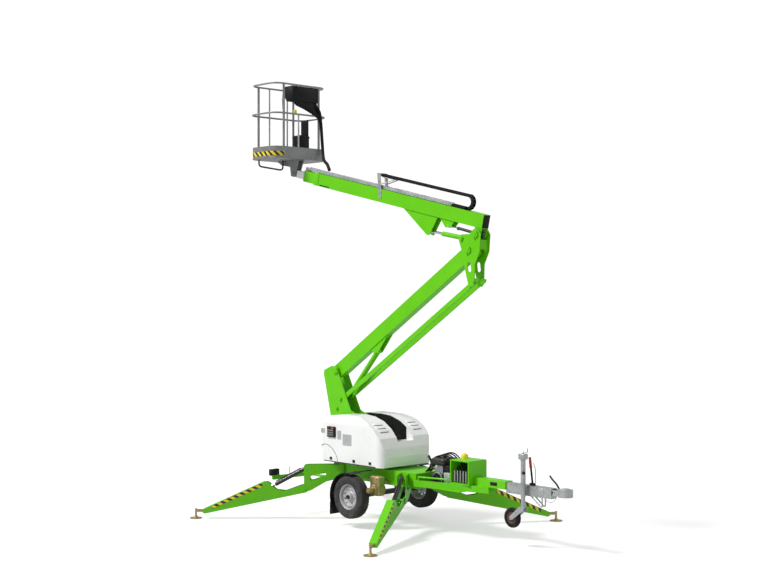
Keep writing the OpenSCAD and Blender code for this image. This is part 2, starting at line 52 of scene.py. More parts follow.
# places are given from the slew axis, in metres, as they were measured
slewX = -0.7075
legPlaces = {"rear_near": (-0.762, -0.737, -135.9), "rear_far": (-0.762, 0.737, 135.9),
             "front_near": (1.11, -0.49, -58.2), "front_far": (1.11, 0.49, 58.2)}
upperPivot = Vector((2.22, 0, 4.32))
upperRise = math.radians(12.7)


def at(x, y, z):
    return Vector((x + slewX, y, z))


def onLeg(key, out, side, z):
    x, y, heading = legPlaces[key]
    a = math.radians(heading)
    return at(x + out * math.cos(a) - side * math.sin(a), y + out * math.sin(a) + side * math.cos(a), z)


def onUpper(along, y, z):
    c, s = math.cos(upperRise), math.sin(upperRise)
    return at(upperPivot.x - along * c + z * s, y, upperPivot.z + along * s + z * c)


# ---- camera and light
cameraView = {"distance": 20.55, "side": 0.153, "height": 3.57, "turn": 46.6, "lens": 62.6}
turn = math.radians(cameraView["turn"])
bpy.ops.object.camera_add(
    location=at(math.sin(turn) * cameraView["distance"] + math.cos(turn) * cameraView["side"],
                -math.cos(turn) * cameraView["distance"] + math.sin(turn) * cameraView["side"],
                cameraView["height"]),
    rotation=(math.radians(90), 0, turn))
camera = bpy.context.object
camera.name = "viewCamera"
camera.data.lens = cameraView["lens"]
camera.data.sensor_width = 36
camera.data.clip_end = 200
bpy.context.scene.camera = camera
bpy.context.scene.view_settings.view_transform = "Standard"

lightLevels = {"sun": 3.1, "sunSize": 14, "sky": 0.46, "fill": 0.4, "fillSize": 60, "backdrop": 1.05}
for name, strength, size, spin in (("keySun", lightLevels["sun"], lightLevels["sunSize"], (35, -25, 0)),
                                   ("fillSun", lightLevels["fill"], lightLevels["fillSize"], (55, 0, 150))):
    bpy.ops.object.light_add(type="SUN", location=(0, 0, 9), rotation=[math.radians(v) for v in spin])
    sun = bpy.context.object
    sun.name = name
    sun.data.energy = strength
    sun.data.angle = math.radians(size)


# ---- shader nodes and groups
def addNode(tree, kind, values=(), **settings):
    # a value that is another node's socket is linked
    node = tree.nodes.new(kind)
    for key, value in settings.items():
        setattr(node, key, value)
    for key, value in values:
        if isinstance(value, bpy.types.NodeSocket):
            tree.links.new(value, node.inputs[key])
        else:
            node.inputs[key].default_value = value
    return node


def sumOf(tree, operation, *values, clamp=False):
    return addNode(tree, "ShaderNodeMath", enumerate(values), operation=operation, use_clamp=clamp).outputs[0]


def mixOf(tree, factor, first, second):
    return addNode(tree, "ShaderNodeMix", (("Factor", factor), (6, first), (7, second)), data_type="RGBA").outputs[2]


def rangeOf(tree, socket, fromLow, fromHigh, low=0, high=1):
    values = (("Value", socket), ("From Min", fromLow), ("From Max", fromHigh), ("To Min", low), ("To Max", high))
    return addNode(tree, "ShaderNodeMapRange", values).outputs["Result"]


def noiseOf(tree, place, scale, detail, rough=0.5):
    values = (("Vector", place), ("Scale", scale), ("Detail", detail), ("Roughness", rough))
    return addNode(tree, "ShaderNodeTexNoise", values).outputs["Fac"]


def newGroup(name, inputs, outputs):
    group = bpy.data.node_groups.new(name, "ShaderNodeTree")
    for label, value in inputs:
        kind = "NodeSocketColor" if isinstance(value, tuple) else "NodeSocketFloat"
        socket = group.interface.new_socket(name=label, in_out="INPUT", socket_type=kind)
        socket.default_value = value
    for label, kind in outputs:
        group.interface.new_socket(name=label, in_out="OUTPUT", socket_type="NodeSocket" + kind)
    place = addNode(group, "ShaderNodeTexCoord").outputs["Object"]
    return group, place, group.nodes.new("NodeGroupInput").outputs


def paintFilmGroup():
    # soft ripple of sprayed paint, and a slow drift in its tone
    group, place, given = newGroup("paintFilm", (("Colour", (0.5, 0.5, 0.5, 1)), ("Ripple", 60), ("Depth", 0.1),
                                                 ("Drift", 0.1)),
                                   (("Colour", "Color"), ("Rough", "Float"), ("Normal", "Vector")))
    ripple = noiseOf(group, place, given["Ripple"], 2)
    bump = addNode(group, "ShaderNodeBump", (("Distance", 0.002), ("Strength", given["Depth"]), ("Height", ripple)))
    slow = noiseOf(group, place, 2.3, 4)
    tone = rangeOf(group, slow, 0.3, 0.7, sumOf(group, "SUBTRACT", 1, given["Drift"]))
    shade = addNode(group, "ShaderNodeVectorMath", ((0, given["Colour"]), ("Scale", tone)), operation="SCALE")
    addNode(group, "NodeGroupOutput", (("Colour", shade.outputs[0]), ("Rough", slow), ("Normal", bump.outputs[0])))
    return group


def roadDustGroup():
    # road dust in spots that thin out with height
    group, place, given = newGroup("roadDust", (("Colour", (0.5, 0.5, 0.5, 1)), ("Dust", (0.3, 0.27, 0.22, 1)),
                                                ("Amount", 0.3), ("Splash height", 1)),
                                   (("Colour", "Color"), ("Mask", "Float")))
    split = addNode(group, "ShaderNodeSeparateXYZ", ((0, place),))
    low = rangeOf(group, split.outputs["Z"], 0, given["Splash height"], 1, 0.12)
    spots = rangeOf(group, noiseOf(group, place, 9, 7, 0.62), 0.42, 0.72)
    mask = sumOf(group, "MULTIPLY", sumOf(group, "MULTIPLY", low, spots), given["Amount"], clamp=True)
    dusty = mixOf(group, mask, given["Colour"], given["Dust"])
    addNode(group, "NodeGroupOutput", (("Colour", dusty), ("Mask", mask)))
    return group


def zincSpangleGroup():
    # hot dip zinc: flat crystals of unlike grey
    group, place, given = newGroup("zincSpangle", (("Dark", (0.3, 0.31, 0.32, 1)), ("Pale", (0.6, 0.61, 0.62, 1)),
                                                   ("Crystals", 60)),
                                   (("Colour", "Color"), ("Tone", "Float")))
    cells = addNode(group, "ShaderNodeTexVoronoi", (("Vector", place), ("Scale", given["Crystals"])))
    grey = addNode(group, "ShaderNodeSeparateColor", ((0, cells.outputs["Color"]),))
    crystal = sumOf(group, "MULTIPLY", grey.outputs[0], 0.35)
    tone = sumOf(group, "MULTIPLY_ADD", noiseOf(group, place, 4, 5), 0.8, crystal, clamp=True)
    zinc = mixOf(group, tone, given["Dark"], given["Pale"])
    addNode(group, "NodeGroupOutput", (("Colour", zinc), ("Tone", tone)))
    return group


paintFilm, roadDust, zincSpangle = paintFilmGroup(), roadDustGroup(), zincSpangleGroup()


def startMaterial(name, metallic=0.0, coat=0.0):
    material = bpy.data.materials.new(name)
    material.use_nodes = True
    shader = material.node_tree.nodes["Principled BSDF"]
    shader.inputs["Metallic"].default_value = metallic
    shader.inputs["Coat Weight"].default_value = coat
    shader.inputs["Coat Roughness"].default_value = 0.08
    return material, material.node_tree, shader


def finishWith(tree, shader, colour, tone, rough, dust, amount, splash):
    # dust over the colour; rough is the range that the tone spreads over, and dust dulls it
    dusty = addNode(tree, "ShaderNodeGroup", (("Colour", colour), ("Dust", (*dust, 1)), ("Amount", amount),
                                              ("Splash height", splash)), node_tree=roadDust)
    tree.links.new(dusty.outputs["Colour"], shader.inputs["Base Color"])
    spread = rangeOf(tree, tone or dusty.outputs["Mask"], 0.3, 0.7, *rough)
    dull = sumOf(tree, "MULTIPLY_ADD", dusty.outputs["Mask"], 0.5, spread, clamp=True)
    tree.links.new(dull, shader.inputs["Roughness"])


def coatedMaterial(name, colour, metallic=0.0, coat=0.0, rough=(0.3, 0.4), ripple=60, depth=0.1, drift=0.1,
                   dust=(0.24, 0.21, 0.17), amount=0.25, splash=1.6):
    material, tree, shader = startMaterial(name, metallic, coat)
    film = addNode(tree, "ShaderNodeGroup", (("Colour", (*colour, 1)), ("Ripple", ripple), ("Depth", depth),
                                             ("Drift", drift)), node_tree=paintFilm)
    tree.links.new(film.outputs["Normal"], shader.inputs["Normal"])
    finishWith(tree, shader, film.outputs["Colour"], film.outputs["Rough"], rough, dust, amount, splash)
    return material


def zincMaterial(name, dark, pale, crystals, rough, metallic=0.75, amount=0.2):
    material, tree, shader = startMaterial(name, metallic)
    zinc = addNode(tree, "ShaderNodeGroup", (("Dark", (*dark, 1)), ("Pale", (*pale, 1)), ("Crystals", crystals)),
                   node_tree=zincSpangle)
    finishWith(tree, shader, zinc.outputs["Colour"], zinc.outputs["Tone"], rough, (0.2, 0.18, 0.15), amount, 1.6)
    return material


limePaint = coatedMaterial("limePaint", (0.135, 0.6, 0.001), coat=0.12, rough=(0.28, 0.38), ripple=55, depth=0.06)
whiteShell = coatedMaterial("whiteShell", (0.88, 0.89, 0.88), coat=0.4, rough=(0.25, 0.35), ripple=30, depth=0.05,
                            drift=0.05, amount=0.08)
hotZinc = zincMaterial("hotZinc", (0.3, 0.31, 0.32), (0.62, 0.64, 0.65), 45, (0.36, 0.52))
dullZinc = zincMaterial("dullZinc", (0.17, 0.175, 0.175), (0.36, 0.37, 0.36), 45, (0.42, 0.58), metallic=0.55)
blackEnamel = coatedMaterial("blackEnamel", (0.012, 0.012, 0.013), coat=0.2, rough=(0.32, 0.45), depth=0.08, drift=0.3)
blackMoulding = coatedMaterial("blackMoulding", (0.009, 0.009, 0.01), rough=(0.5, 0.62), ripple=240, depth=0.25,
                               drift=0.25)
blackRubber = coatedMaterial("blackRubber", (0.009, 0.009, 0.0095), rough=(0.6, 0.75), ripple=180, depth=0.2, drift=0.3)
tyreRubber = coatedMaterial("tyreRubber", (0.023, 0.023, 0.024), rough=(0.62, 0.8), ripple=150, depth=0.25, drift=0.3,
                            amount=0.32, splash=1.2)
rimLacquer = coatedMaterial("rimLacquer", (0.5, 0.51, 0.52), metallic=0.3, rough=(0.3, 0.42), depth=0.05, amount=0.4)
rodChrome = coatedMaterial("rodChrome", (0.72, 0.73, 0.75), metallic=1.0, rough=(0.08, 0.16), ripple=300, depth=0.02,
                           drift=0.06, amount=0.08)
yellowZinc = zincMaterial("yellowZinc", (0.26, 0.18, 0.07), (0.62, 0.5, 0.24), 30, (0.34, 0.5), amount=0.3)
lampLens = coatedMaterial("lampLens", (0.7, 0.07, 0.015), coat=0.8, rough=(0.12, 0.2), ripple=90, depth=0.3)
for material in (limePaint, blackMoulding, blackRubber):
    material.node_tree.nodes["Principled BSDF"].inputs["Specular IOR Level"].default_value = 0.2
print("materials made")

finishOf = {"green_paint": limePaint, "white_shell": whiteShell, "galvanised": hotZinc, "black_steel": blackEnamel,
            "black_plastic": blackMoulding, "rubber": blackRubber, "tyre": tyreRubber, "rim_paint": rimLacquer,
            "rod_chrome": rodChrome, "yellow_zinc": yellowZinc, "lamp_red": lampLens}
slotOf = {material.name: slot for slot, material in finishOf.items()}
slotOf.update({"dullZinc": "galvanised", "redGrip": "black_plastic", "discPaint": "rim_paint",
               "warningStripes": "black_plastic"})
for entry in frame["record"]["subparts"]:
    node = nodes[entry["node"]]
    node.data.materials.clear()
    inBasket = entry["material_slot"] == "galvanised" and entry["node"].startswith("basket")
    node.data.materials.append(dullZinc if inBasket else finishOf[entry["material_slot"]])

# ---- floor
floorSetup = {"size": 90, "tone": 0.55, "glow": 0.48, "rough": 0.9}
bpy.ops.mesh.primitive_plane_add(size=floorSetup["size"], location=(0, 0, 0))
floor = bpy.context.object
floor.name = "paleFloor"
floorMaterial, floorTree, floorShader = startMaterial("paleFloor")
floorShader.inputs["Base Color"].default_value = (floorSetup["tone"],) * 3 + (1,)
floorShader.inputs["Roughness"].default_value = floorSetup["rough"]
floorShader.inputs["Emission Color"].default_value = (1, 1, 1, 1)
floorRays = addNode(floorTree, "ShaderNodeLightPath")
floorGlow = sumOf(floorTree, "MULTIPLY", floorRays.outputs["Is Camera Ray"], floorSetup["glow"])
floorTree.links.new(floorGlow, floorShader.inputs["Emission Strength"])
floor.data.materials.append(floorMaterial)

world = bpy.data.worlds.new("paleSky")
bpy.context.scene.world = world
world.use_nodes = True
skyTree = world.node_tree
background = skyTree.nodes["Background"]
background.inputs["Color"].default_value = (1, 1, 1, 1)
background.inputs["Strength"].default_value = lightLevels["sky"]
whiteBack = addNode(skyTree, "ShaderNodeBackground", (("Color", (1, 1, 1, 1)), ("Strength", lightLevels["backdrop"])))
rays = addNode(skyTree, "ShaderNodeLightPath")
pick = addNode(skyTree, "ShaderNodeMixShader",
               enumerate((rays.outputs["Is Camera Ray"], background.outputs[0], whiteBack.outputs[0])))
skyTree.links.new(pick.outputs[0], skyTree.nodes["World Output"].inputs["Surface"])


# ---- modelling helpers
def clearSelection():
    if bpy.context.object and bpy.context.object.mode != "OBJECT":
        bpy.ops.object.mode_set(mode="OBJECT")
    bpy.ops.object.select_all(action="DESELECT")


def takeUp(obj):
    clearSelection()
    obj.select_set(True)
    bpy.context.view_layer.objects.active = obj


def openMesh():
    bpy.ops.object.mode_set(mode="EDIT")
    bpy.ops.mesh.select_all(action="SELECT")


def closeMesh(merge=0.0):
    # faces turned outward, and points nearer than merge made one
    bpy.ops.mesh.select_all(action="SELECT")
    if merge:
        bpy.ops.mesh.remove_doubles(threshold=merge)
    bpy.ops.mesh.normals_make_consistent(inside=False)
    bpy.ops.object.mode_set(mode="OBJECT")


def applyModifier(obj, kind, **settings):
    takeUp(obj)
    modifier = obj.modifiers.new(kind.lower(), kind)
    for key, value in settings.items():
        setattr(modifier, key, value)
    bpy.ops.object.modifier_apply(modifier=modifier.name)


def joinUp(parts):
    clearSelection()
    for part in parts:
        part.select_set(True)
    bpy.context.view_layer.objects.active = parts[0]
    if len(parts) > 1:
        bpy.ops.object.join()
    return bpy.context.object


def settle(obj, name, body, material, smooth=35):
    # the last step for a piece, or for a list of parts that make one
    if isinstance(obj, list):
        obj = joinUp(obj)
    takeUp(obj)
    bpy.ops.object.transform_apply(location=True, rotation=True, scale=True)
    if smooth:
        bpy.ops.object.shade_smooth_by_angle(angle=math.radians(smooth))
    obj.name = obj.data.name = name
    obj.data.materials.clear()
    obj.data.materials.append(material)
    if body:
        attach(obj, body)
    return obj


def block(low, high, edge=0.004, steps=2):
    low, high = Vector(low), Vector(high)
    clearSelection()
    bpy.ops.mesh.primitive_cube_add(size=1, location=(low + high) / 2)
    obj = bpy.context.object
    obj.scale = high - low
    bpy.ops.object.transform_apply(location=False, rotation=False, scale=True)
    if edge:
        openMesh()
        bpy.ops.mesh.bevel(offset=edge, segments=steps, affect="EDGES")
        bpy.ops.object.mode_set(mode="OBJECT")
    return obj


def aimed(direction):
    return Vector(direction).to_track_quat("Z", "Y").to_euler()


def disc(centre, direction, radius, depth, edge=0.002, sides=32, steps=2):
    clearSelection()
    bpy.ops.mesh.primitive_cylinder_add(vertices=sides, radius=radius, depth=depth, location=centre,
                                        rotation=aimed(direction))
    obj = bpy.context.object
    if edge:
        bpy.ops.object.mode_set(mode="EDIT")
        bpy.ops.mesh.select_all(action="DESELECT")
        bpy.ops.mesh.select_mode(type="FACE")
        bpy.ops.object.mode_set(mode="OBJECT")
        for face in obj.data.polygons:
            face.select = len(face.vertices) > 4
        bpy.ops.object.mode_set(mode="EDIT")
        bpy.ops.mesh.bevel(offset=edge, segments=steps, affect="EDGES")
        bpy.ops.object.mode_set(mode="OBJECT")
    return obj


def pipe(points, radius, sides=6, bend=0.0, closed=False):
    # a tube through the points, its corners rounded by bend
    route = []
    count = len(points)
    points = [Vector(p) for p in points]
    for i, p in enumerate(points):
        if bend and (closed or 0 < i < count - 1):
            before, after = points[i - 1], points[(i + 1) % count]
            reach = min(bend, (before - p).length * 0.49, (after - p).length * 0.49)
            a, b = p + (before - p).normalized() * reach, p + (after - p).normalized() * reach
            for k in range(7):
                t = k / 6
                route.append(a * (1 - t) ** 2 + p * 2 * t * (1 - t) + b * t * t)
        else:
            route.append(p)
    curve = bpy.data.curves.new("pipe", "CURVE")
    curve.dimensions = "3D"
    curve.bevel_depth = radius
    curve.bevel_resolution = sides
    curve.use_fill_caps = not closed
    spline = curve.splines.new("POLY")
    spline.points.add(len(route) - 1)
    for point, place in zip(spline.points, route):
        point.co = (*place, 1)
    spline.use_cyclic_u = closed
    obj = bpy.data.objects.new("pipe", curve)
    bpy.context.collection.objects.link(obj)
    takeUp(obj)
    bpy.ops.object.convert(target="MESH")
    obj = bpy.context.object
    openMesh()
    closeMesh(merge=0.0001)
    return obj


def trace(points, closed=False):
    # a chain of edges drawn from point to point, filled where it is closed
    clearSelection()
    points = [Vector(p) for p in points]
    bpy.ops.mesh.primitive_plane_add(size=0.01, location=points[0])
    obj = bpy.context.object
    bpy.ops.object.mode_set(mode="EDIT")
    bpy.ops.mesh.select_mode(type="VERT")
    bpy.ops.mesh.select_all(action="SELECT")
    bpy.ops.mesh.merge(type="CENTER")
    bpy.ops.mesh.select_all(action="SELECT")
    for a, b in zip(points, points[1:]):
        bpy.ops.mesh.extrude_region_move(TRANSFORM_OT_translate={"value": tuple(b - a)})
    bpy.ops.mesh.select_all(action="SELECT")
    if closed:
        bpy.ops.mesh.edge_face_add()
    return obj


def plate(points, thick, edge=0.001):
    # a flat outline pulled out along the vector thick
    obj = trace(points, closed=True)
    bpy.ops.mesh.extrude_region_move(TRANSFORM_OT_translate={"value": tuple(thick)})
    bpy.ops.mesh.select_all(action="SELECT")
    bpy.ops.mesh.normals_make_consistent(inside=False)
    if edge:
        bpy.ops.mesh.bevel(offset=edge, segments=1, affect="EDGES")
    bpy.ops.object.mode_set(mode="OBJECT")
    return obj


def lathe(profile, centre, axis, side=None, steps=64):
    # profile as (radius, height) is spun about the axis through centre, from the direction side
    axis, centre = Vector(axis), Vector(centre)
    side = Vector(side or ((1, 0, 0) if axis.z else (0, 0, 1)))
    obj = trace([centre + side * r + axis * h for r, h in profile])
    bpy.ops.mesh.spin(steps=steps, angle=2 * math.pi, center=centre, axis=axis)
    closeMesh(merge=0.0002)
    return obj


def loft(rings):
    # closed rings of one count, drawn one by one, then bridged and capped
    made = []
    for ring in rings:
        obj = trace(ring, closed=True)
        bpy.ops.mesh.delete(type="ONLY_FACE")
        bpy.ops.object.mode_set(mode="OBJECT")
        made.append(obj)
    obj = joinUp(made)
    bpy.ops.object.mode_set(mode="EDIT")
    bpy.ops.mesh.select_mode(type="EDGE")
    bpy.ops.mesh.select_all(action="SELECT")
    bpy.ops.mesh.bridge_edge_loops()
    closeMesh()
    return obj


def copyAt(obj, matrix):
    twin = obj.copy()
    twin.data = obj.data.copy()
    bpy.context.collection.objects.link(twin)
    twin.matrix_world = matrix
    return twin


def boltHead():
    head = disc((0, 0, 0.36), (0, 0, 1), 0.5, 0.62, edge=0.06, sides=6)
    washer = disc((0, 0, 0.02), (0, 0, 1), 0.72, 0.1, edge=0.02, sides=20, steps=1)
    tip = disc((0, 0, 0.7), (0, 0, 1), 0.22, 0.12, edge=0.03, sides=12, steps=1)
    bolt = joinUp([head, washer, tip])
    bpy.ops.object.transform_apply(location=True, rotation=True, scale=True)
    return bolt


def boltsOn(name, body, places, material=yellowZinc):
    # places as (point, outward direction, size across the head)
    made = []
    for point, outward, across in places:
        turned = Vector(outward).to_track_quat("Z", "Y").to_matrix().to_4x4()
        size = Matrix.Diagonal((across,) * 3 + (1,))
        made.append(copyAt(boltPattern, Matrix.Translation(Vector(point)) @ turned @ size))
    return settle(made, name, body, material)


boltPattern = boltHead()
boltPattern.hide_render = True

# ---- road wheels
tyreSetup = {"out": 0.325, "inner": 0.186, "half": 0.0865, "lugs": 56}
axle = {"x": 0.29, "side": 0.73, "height": 0.465}
for side, key in ((-1, "near"), (1, "far")):
    hub = at(axle["x"], side * axle["side"], axle["height"])
    wide, out = tyreSetup["half"], tyreSetup["out"]
    half = [(tyreSetup["inner"], 0.066), (0.192, 0.076), (0.205, 0.08), (0.24, 0.0862), (0.262, wide), (0.285, 0.084),
            (0.303, 0.077), (0.314, 0.068), (0.3205, 0.056), (0.3235, 0.047), (0.3165, 0.044), (0.3165, 0.038),
            (0.3245, 0.036), (out, 0.022), (0.317, 0.02), (0.317, 0.013), (out, 0.011)]
    profile = half + [(r, -h) for r, h in reversed(half)]
    tyre = lathe(profile, hub, (0, 1, 0), steps=96)
    lug = block((-0.0055, -0.012, -0.004), (0.0055, 0.012, 0.004), edge=0.0015, steps=1)
    lugs = []
    for i in range(tyreSetup["lugs"]):
        for edge in (-1, 1):
            a = 2 * math.pi * (i + 0.5 * (edge > 0)) / tyreSetup["lugs"]
            place = Matrix.Translation((0, edge * 0.064, 0.3152)) @ Matrix.Rotation(-edge * 0.42, 4, "X")
            lugs.append(copyAt(lug, Matrix.Translation(hub) @ Matrix.Rotation(a, 4, "Y") @ place))
    bpy.data.objects.remove(lug)
    tyre = settle([tyre] + lugs, "roadTyre." + key, "wheel_" + key, tyreRubber, smooth=40)
    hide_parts("tyre_" + key)

    outward = Vector((0, side, 0))
    dish = [(0.0203, 0.06), (0.03, 0.06), (0.052, 0.058), (0.058, 0.05), (0.066, 0.024), (0.082, 0.016), (0.105, 0.02),
            (0.135, 0.034), (0.15, 0.03), (0.163, 0.01), (0.168, 0.045), (0.172, 0.062), (0.18, 0.07), (0.1868, 0.07),
            (0.1868, 0.064), (0.178, 0.06), (0.174, 0.03), (0.17, -0.052), (0.18, -0.064), (0.1868, -0.066),
            (0.1868, -0.07), (0.178, -0.07), (0.166, -0.056), (0.16, 0.002), (0.148, 0.02), (0.134, 0.026),
            (0.105, 0.012), (0.08, 0.008), (0.058, 0.016), (0.05, 0.03), (0.0203, 0.032), (0.0203, 0.06)]
    rim = lathe(dish, hub, outward, steps=72)
    cutters = []
    for i in range(10):
        a = 2 * math.pi * i / 10
        spot = hub + Vector((math.sin(a) * 0.119, side * 0.03, math.cos(a) * 0.119))
        cutters.append(disc(spot, (0, 1, 0), 0.0125, 0.12, edge=0, sides=20))
    cutter = joinUp(cutters)
    applyModifier(rim, "BOOLEAN", object=cutter, solver="EXACT")
    bpy.data.objects.remove(cutter)
    rim = settle(rim, "roadRim." + key, "wheel_" + key, rimLacquer)
    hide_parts("rim_" + key)
    capPiece = lathe([(0.0002, 0.098), (0.018, 0.097), (0.026, 0.092), (0.029, 0.082), (0.03, 0.06), (0.034, 0.0585),
                      (0.034, 0.058), (0.0002, 0.058)], hub, outward, steps=40)
    settle(capPiece, "hubCap." + key, "wheel_" + key, blackEnamel)
    nuts = []
    for i in range(5):
        a = 2 * math.pi * (i + 0.5) / 5
        nuts.append((hub + Vector((math.sin(a) * 0.07, side * 0.021, math.cos(a) * 0.07)), outward, 0.02))
    boltsOn("wheelNuts." + key, "wheel_" + key, nuts, rodChrome)
    stem = pipe([hub + Vector((0.15, side * 0.034, 0)), hub + Vector((0.15, side * 0.058, 0)),
                 hub + Vector((0.146, side * 0.074, 0))], 0.004, sides=3, bend=0.01)
    settle(stem, "valveStem." + key, "wheel_" + key, blackRubber)
print("road wheels built")

# ---- black and yellow stripes on the outriggers and the toe board
stripeSetup = {"pitch": 0.11, "yellow": (0.88, 0.66, 0.004), "black": (0.015, 0.015, 0.016)}


def stripeMaterial():
    material, tree, shader = startMaterial("warningStripes", coat=0.2)
    uv = addNode(tree, "ShaderNodeUVMap", uv_map="stripeMap")
    split = addNode(tree, "ShaderNodeSeparateXYZ", ((0, uv.outputs[0]),))
    lean = sumOf(tree, "ADD", split.outputs["X"], split.outputs["Y"])
    band = sumOf(tree, "GREATER_THAN", sumOf(tree, "FRACT", sumOf(tree, "DIVIDE", lean, stripeSetup["pitch"])), 0.5)
    blend = mixOf(tree, band, (*stripeSetup["yellow"], 1), (*stripeSetup["black"], 1))
    finishWith(tree, shader, blend, None, (0.4, 0.5), (0.22, 0.2, 0.16), 0.2, 1.4)
    return material


warningStripes = stripeMaterial()


def stripeBand(name, body, corners, outward, thick=0.0012):
    # corners: lower start, lower end, upper end, upper start
    corners = [Vector(c) + Vector(outward) * 0.0003 for c in corners]
    obj = plate(corners, Vector(outward) * thick, edge=0)
    takeUp(obj)
    bpy.ops.object.transform_apply(location=True, rotation=True, scale=True)
    along = (corners[1] - corners[0]).normalized()
    up = Vector(outward).cross(along)
    layer = obj.data.uv_layers.new(name="stripeMap")
    for loop in obj.data.loops:
        spot = obj.data.vertices[loop.vertex_index].co - corners[0]
        layer.data[loop.index].uv = (spot.dot(along), spot.dot(up))
    return settle(obj, name, body, warningStripes, smooth=0)


def legTop(out):
    # height of an outrigger's top edge, which slopes down from its knee
    return 0.578 - (out - 0.64) * 0.4571


for key in legPlaces:
    for side in (-1, 1):
        outward = onLeg(key, 0, side, 0) - onLeg(key, 0, 0, 0)
        spots = [onLeg(key, out, side * 0.055, legTop(out) - drop)
                 for out, drop in ((0.66, 0.066), (1.44, 0.056), (1.44, 0.008), (0.66, 0.008))]
        stripeBand("legStripe.%s.%s" % (key, "a" if side < 0 else "b"), "outrigger_" + key, spots, outward)
print("outrigger stripes laid")

# ---- white covers: louvres, seams, latches and the ground controls
coverSetup = {"half": 0.53, "slotWide": 0.19}
coverFront = [(0.4, 1.55), (0.56, 1.45), (0.67, 1.33), (0.735, 1.18)]


def onCoverFront(t):
    # point and outward direction along the covers' front slope, t in segments
    i = min(int(t), len(coverFront) - 2)
    a, b = Vector(coverFront[i]), Vector(coverFront[i + 1])
    spot = a.lerp(b, t - i)
    n = Vector((-(b - a).y, (b - a).x)).normalized()
    return spot, (n if n.x > 0 else -n)


louvres, shadows = [], []
halfHood = coverSetup["slotWide"] / 2
for side in (-1, 1):
    for k in range(3):
        spot, n = onCoverFront(0.28 + k * 0.42)
        middle = at(spot.x, side * 0.345, spot.y)
        tilt = math.atan2(n.x, n.y)
        hood = block((-0.03, -halfHood, -0.004), (0.03, halfHood, 0.012), edge=0.01, steps=4)
        hood.location = middle
        # painted shade: a black block in each slot under its hood stands for the shadow inside the opening
        gap = block((-0.007, -0.082, -0.002), (0.007, 0.082, 0.0035), edge=0.003, steps=2)
        gap.location = middle + Vector((math.cos(tilt) * 0.031, 0, -math.sin(tilt) * 0.031))
        hood.rotation_euler = gap.rotation_euler = (0, tilt, 0)
        louvres.append(hood)
        shadows.append(gap)
settle(louvres, "coverLouvres", "slewing_tower", whiteShell)
settle(shadows, "louvreSlotShade", "slewing_tower", blackMoulding)

for side, key in ((-1, "near"), (1, "far")):
    y = side * (coverSetup["half"] + 0.0006)
    crease = [at(-0.64, y, 1.12), at(-0.56, y, 1.165), at(-0.44, y, 1.15), at(-0.33, y, 1.075), at(-0.27, y, 1),
              at(-0.245, y, 0.915)]
    settle(pipe(crease, 0.0035, sides=3, bend=0.06), "coverSeam." + key, "slewing_tower", blackRubber)
    rim = [at(-0.56, side * 0.5285, 0.908), at(0.6, side * 0.5285, 0.908)]
    settle(pipe(rim, 0.007, sides=4), "coverEdging." + key, "slewing_tower", blackRubber)
    latches = []
    for x in (-0.42, 0.1, 0.46):
        edges = sorted((y, y + side * 0.012))
        latches.append(block(at(x, edges[0], 0.935), at(x + 0.045, edges[1], 0.975), edge=0.004))
    settle(latches, "coverLatches." + key, "slewing_tower", blackMoulding)
screwPlaces = ((-0.6, 1.25), (-0.6, 1.02), (0.62, 1.1), (0.35, 1.42), (-0.2, 1.5))
boltsOn("coverScrews", "slewing_tower",
        [(at(x, s * coverSetup["half"], z), (0, s, 0), 0.014) for s in (-1, 1) for x, z in screwPlaces], rodChrome)

panelFront = -0.5502
panelFace = block(at(-0.462, panelFront - 0.004, 1.288), at(-0.298, panelFront, 1.432), edge=0.003)
settle(panelFace, "panelFace", "slewing_tower", blackEnamel)
keys = []
for row in range(3):
    for col in range(4):
        spot = at(-0.44 + col * 0.034, panelFront - 0.008, 1.315 + row * 0.034)
        keys.append(disc(spot, (0, -1, 0), 0.009, 0.012))
settle(keys, "panelKeys", "slewing_tower", rimLacquer)
stopButton = lathe([(0.0002, 0.03), (0.012, 0.029), (0.017, 0.024), (0.017, 0.018), (0.01, 0.014), (0.01, 0),
                    (0.0002, 0)], at(-0.322, panelFront - 0.003, 1.415), (0, -1, 0), steps=28)
settle(stopButton, "groundStop", "slewing_tower", lampLens)
blankSheets = []
for x, z, w, h in ((-0.25, 1.255, 0.085, 0.135), (-0.13, 1.175, 0.2, 0.17), (-0.64, 1.33, 0.1, 0.07)):
    blankSheets.append(block(at(x, -0.5312, z), at(x + w, -0.53, z + h), edge=0.0004, steps=1))
settle(blankSheets, "blankPlates", "slewing_tower", rimLacquer)
print("covers finished")

linerEdge = [(-0.585, 0.905), (-0.585, 1.53), (-0.475, 1.59), (-0.27, 1.614), (0, 1.619), (0.2, 1.601), (0.4, 1.539),
             (0.543, 1.455), (0.543, 0.905)]
liners = [plate([at(x, s * 0.1605, z) for x, z in linerEdge], (0, s * 0.003, 0), edge=0) for s in (-1, 1)]
liners.append(block(at(0.5445, -0.16, 0.905), at(0.5485, 0.16, 1.266), edge=0.001, steps=1))
liners.append(block(at(0.452, -0.158, 0.902), at(0.546, 0.158, 0.962), edge=0.002, steps=1))
settle(liners, "troughLining", "slewing_tower", blackMoulding)
valveBlock = [block(at(0.47, -0.085, 0.96), at(0.535, 0.085, 1.18), edge=0.006)]
for y in (-0.06, -0.02, 0.02, 0.06):
    valveBlock.append(disc(at(0.502, y, 1.195), (0, 0, 1), 0.014, 0.05, edge=0.003, sides=20))
settle(valveBlock, "troughValves", "slewing_tower", hotZinc)
knobs = [disc(at(0.502, y, 1.228), (0, 0, 1), 0.017, 0.02, edge=0.005, sides=20) for y in (-0.06, 0.02)]
settle(knobs, "troughKnobs", "slewing_tower", lampLens)

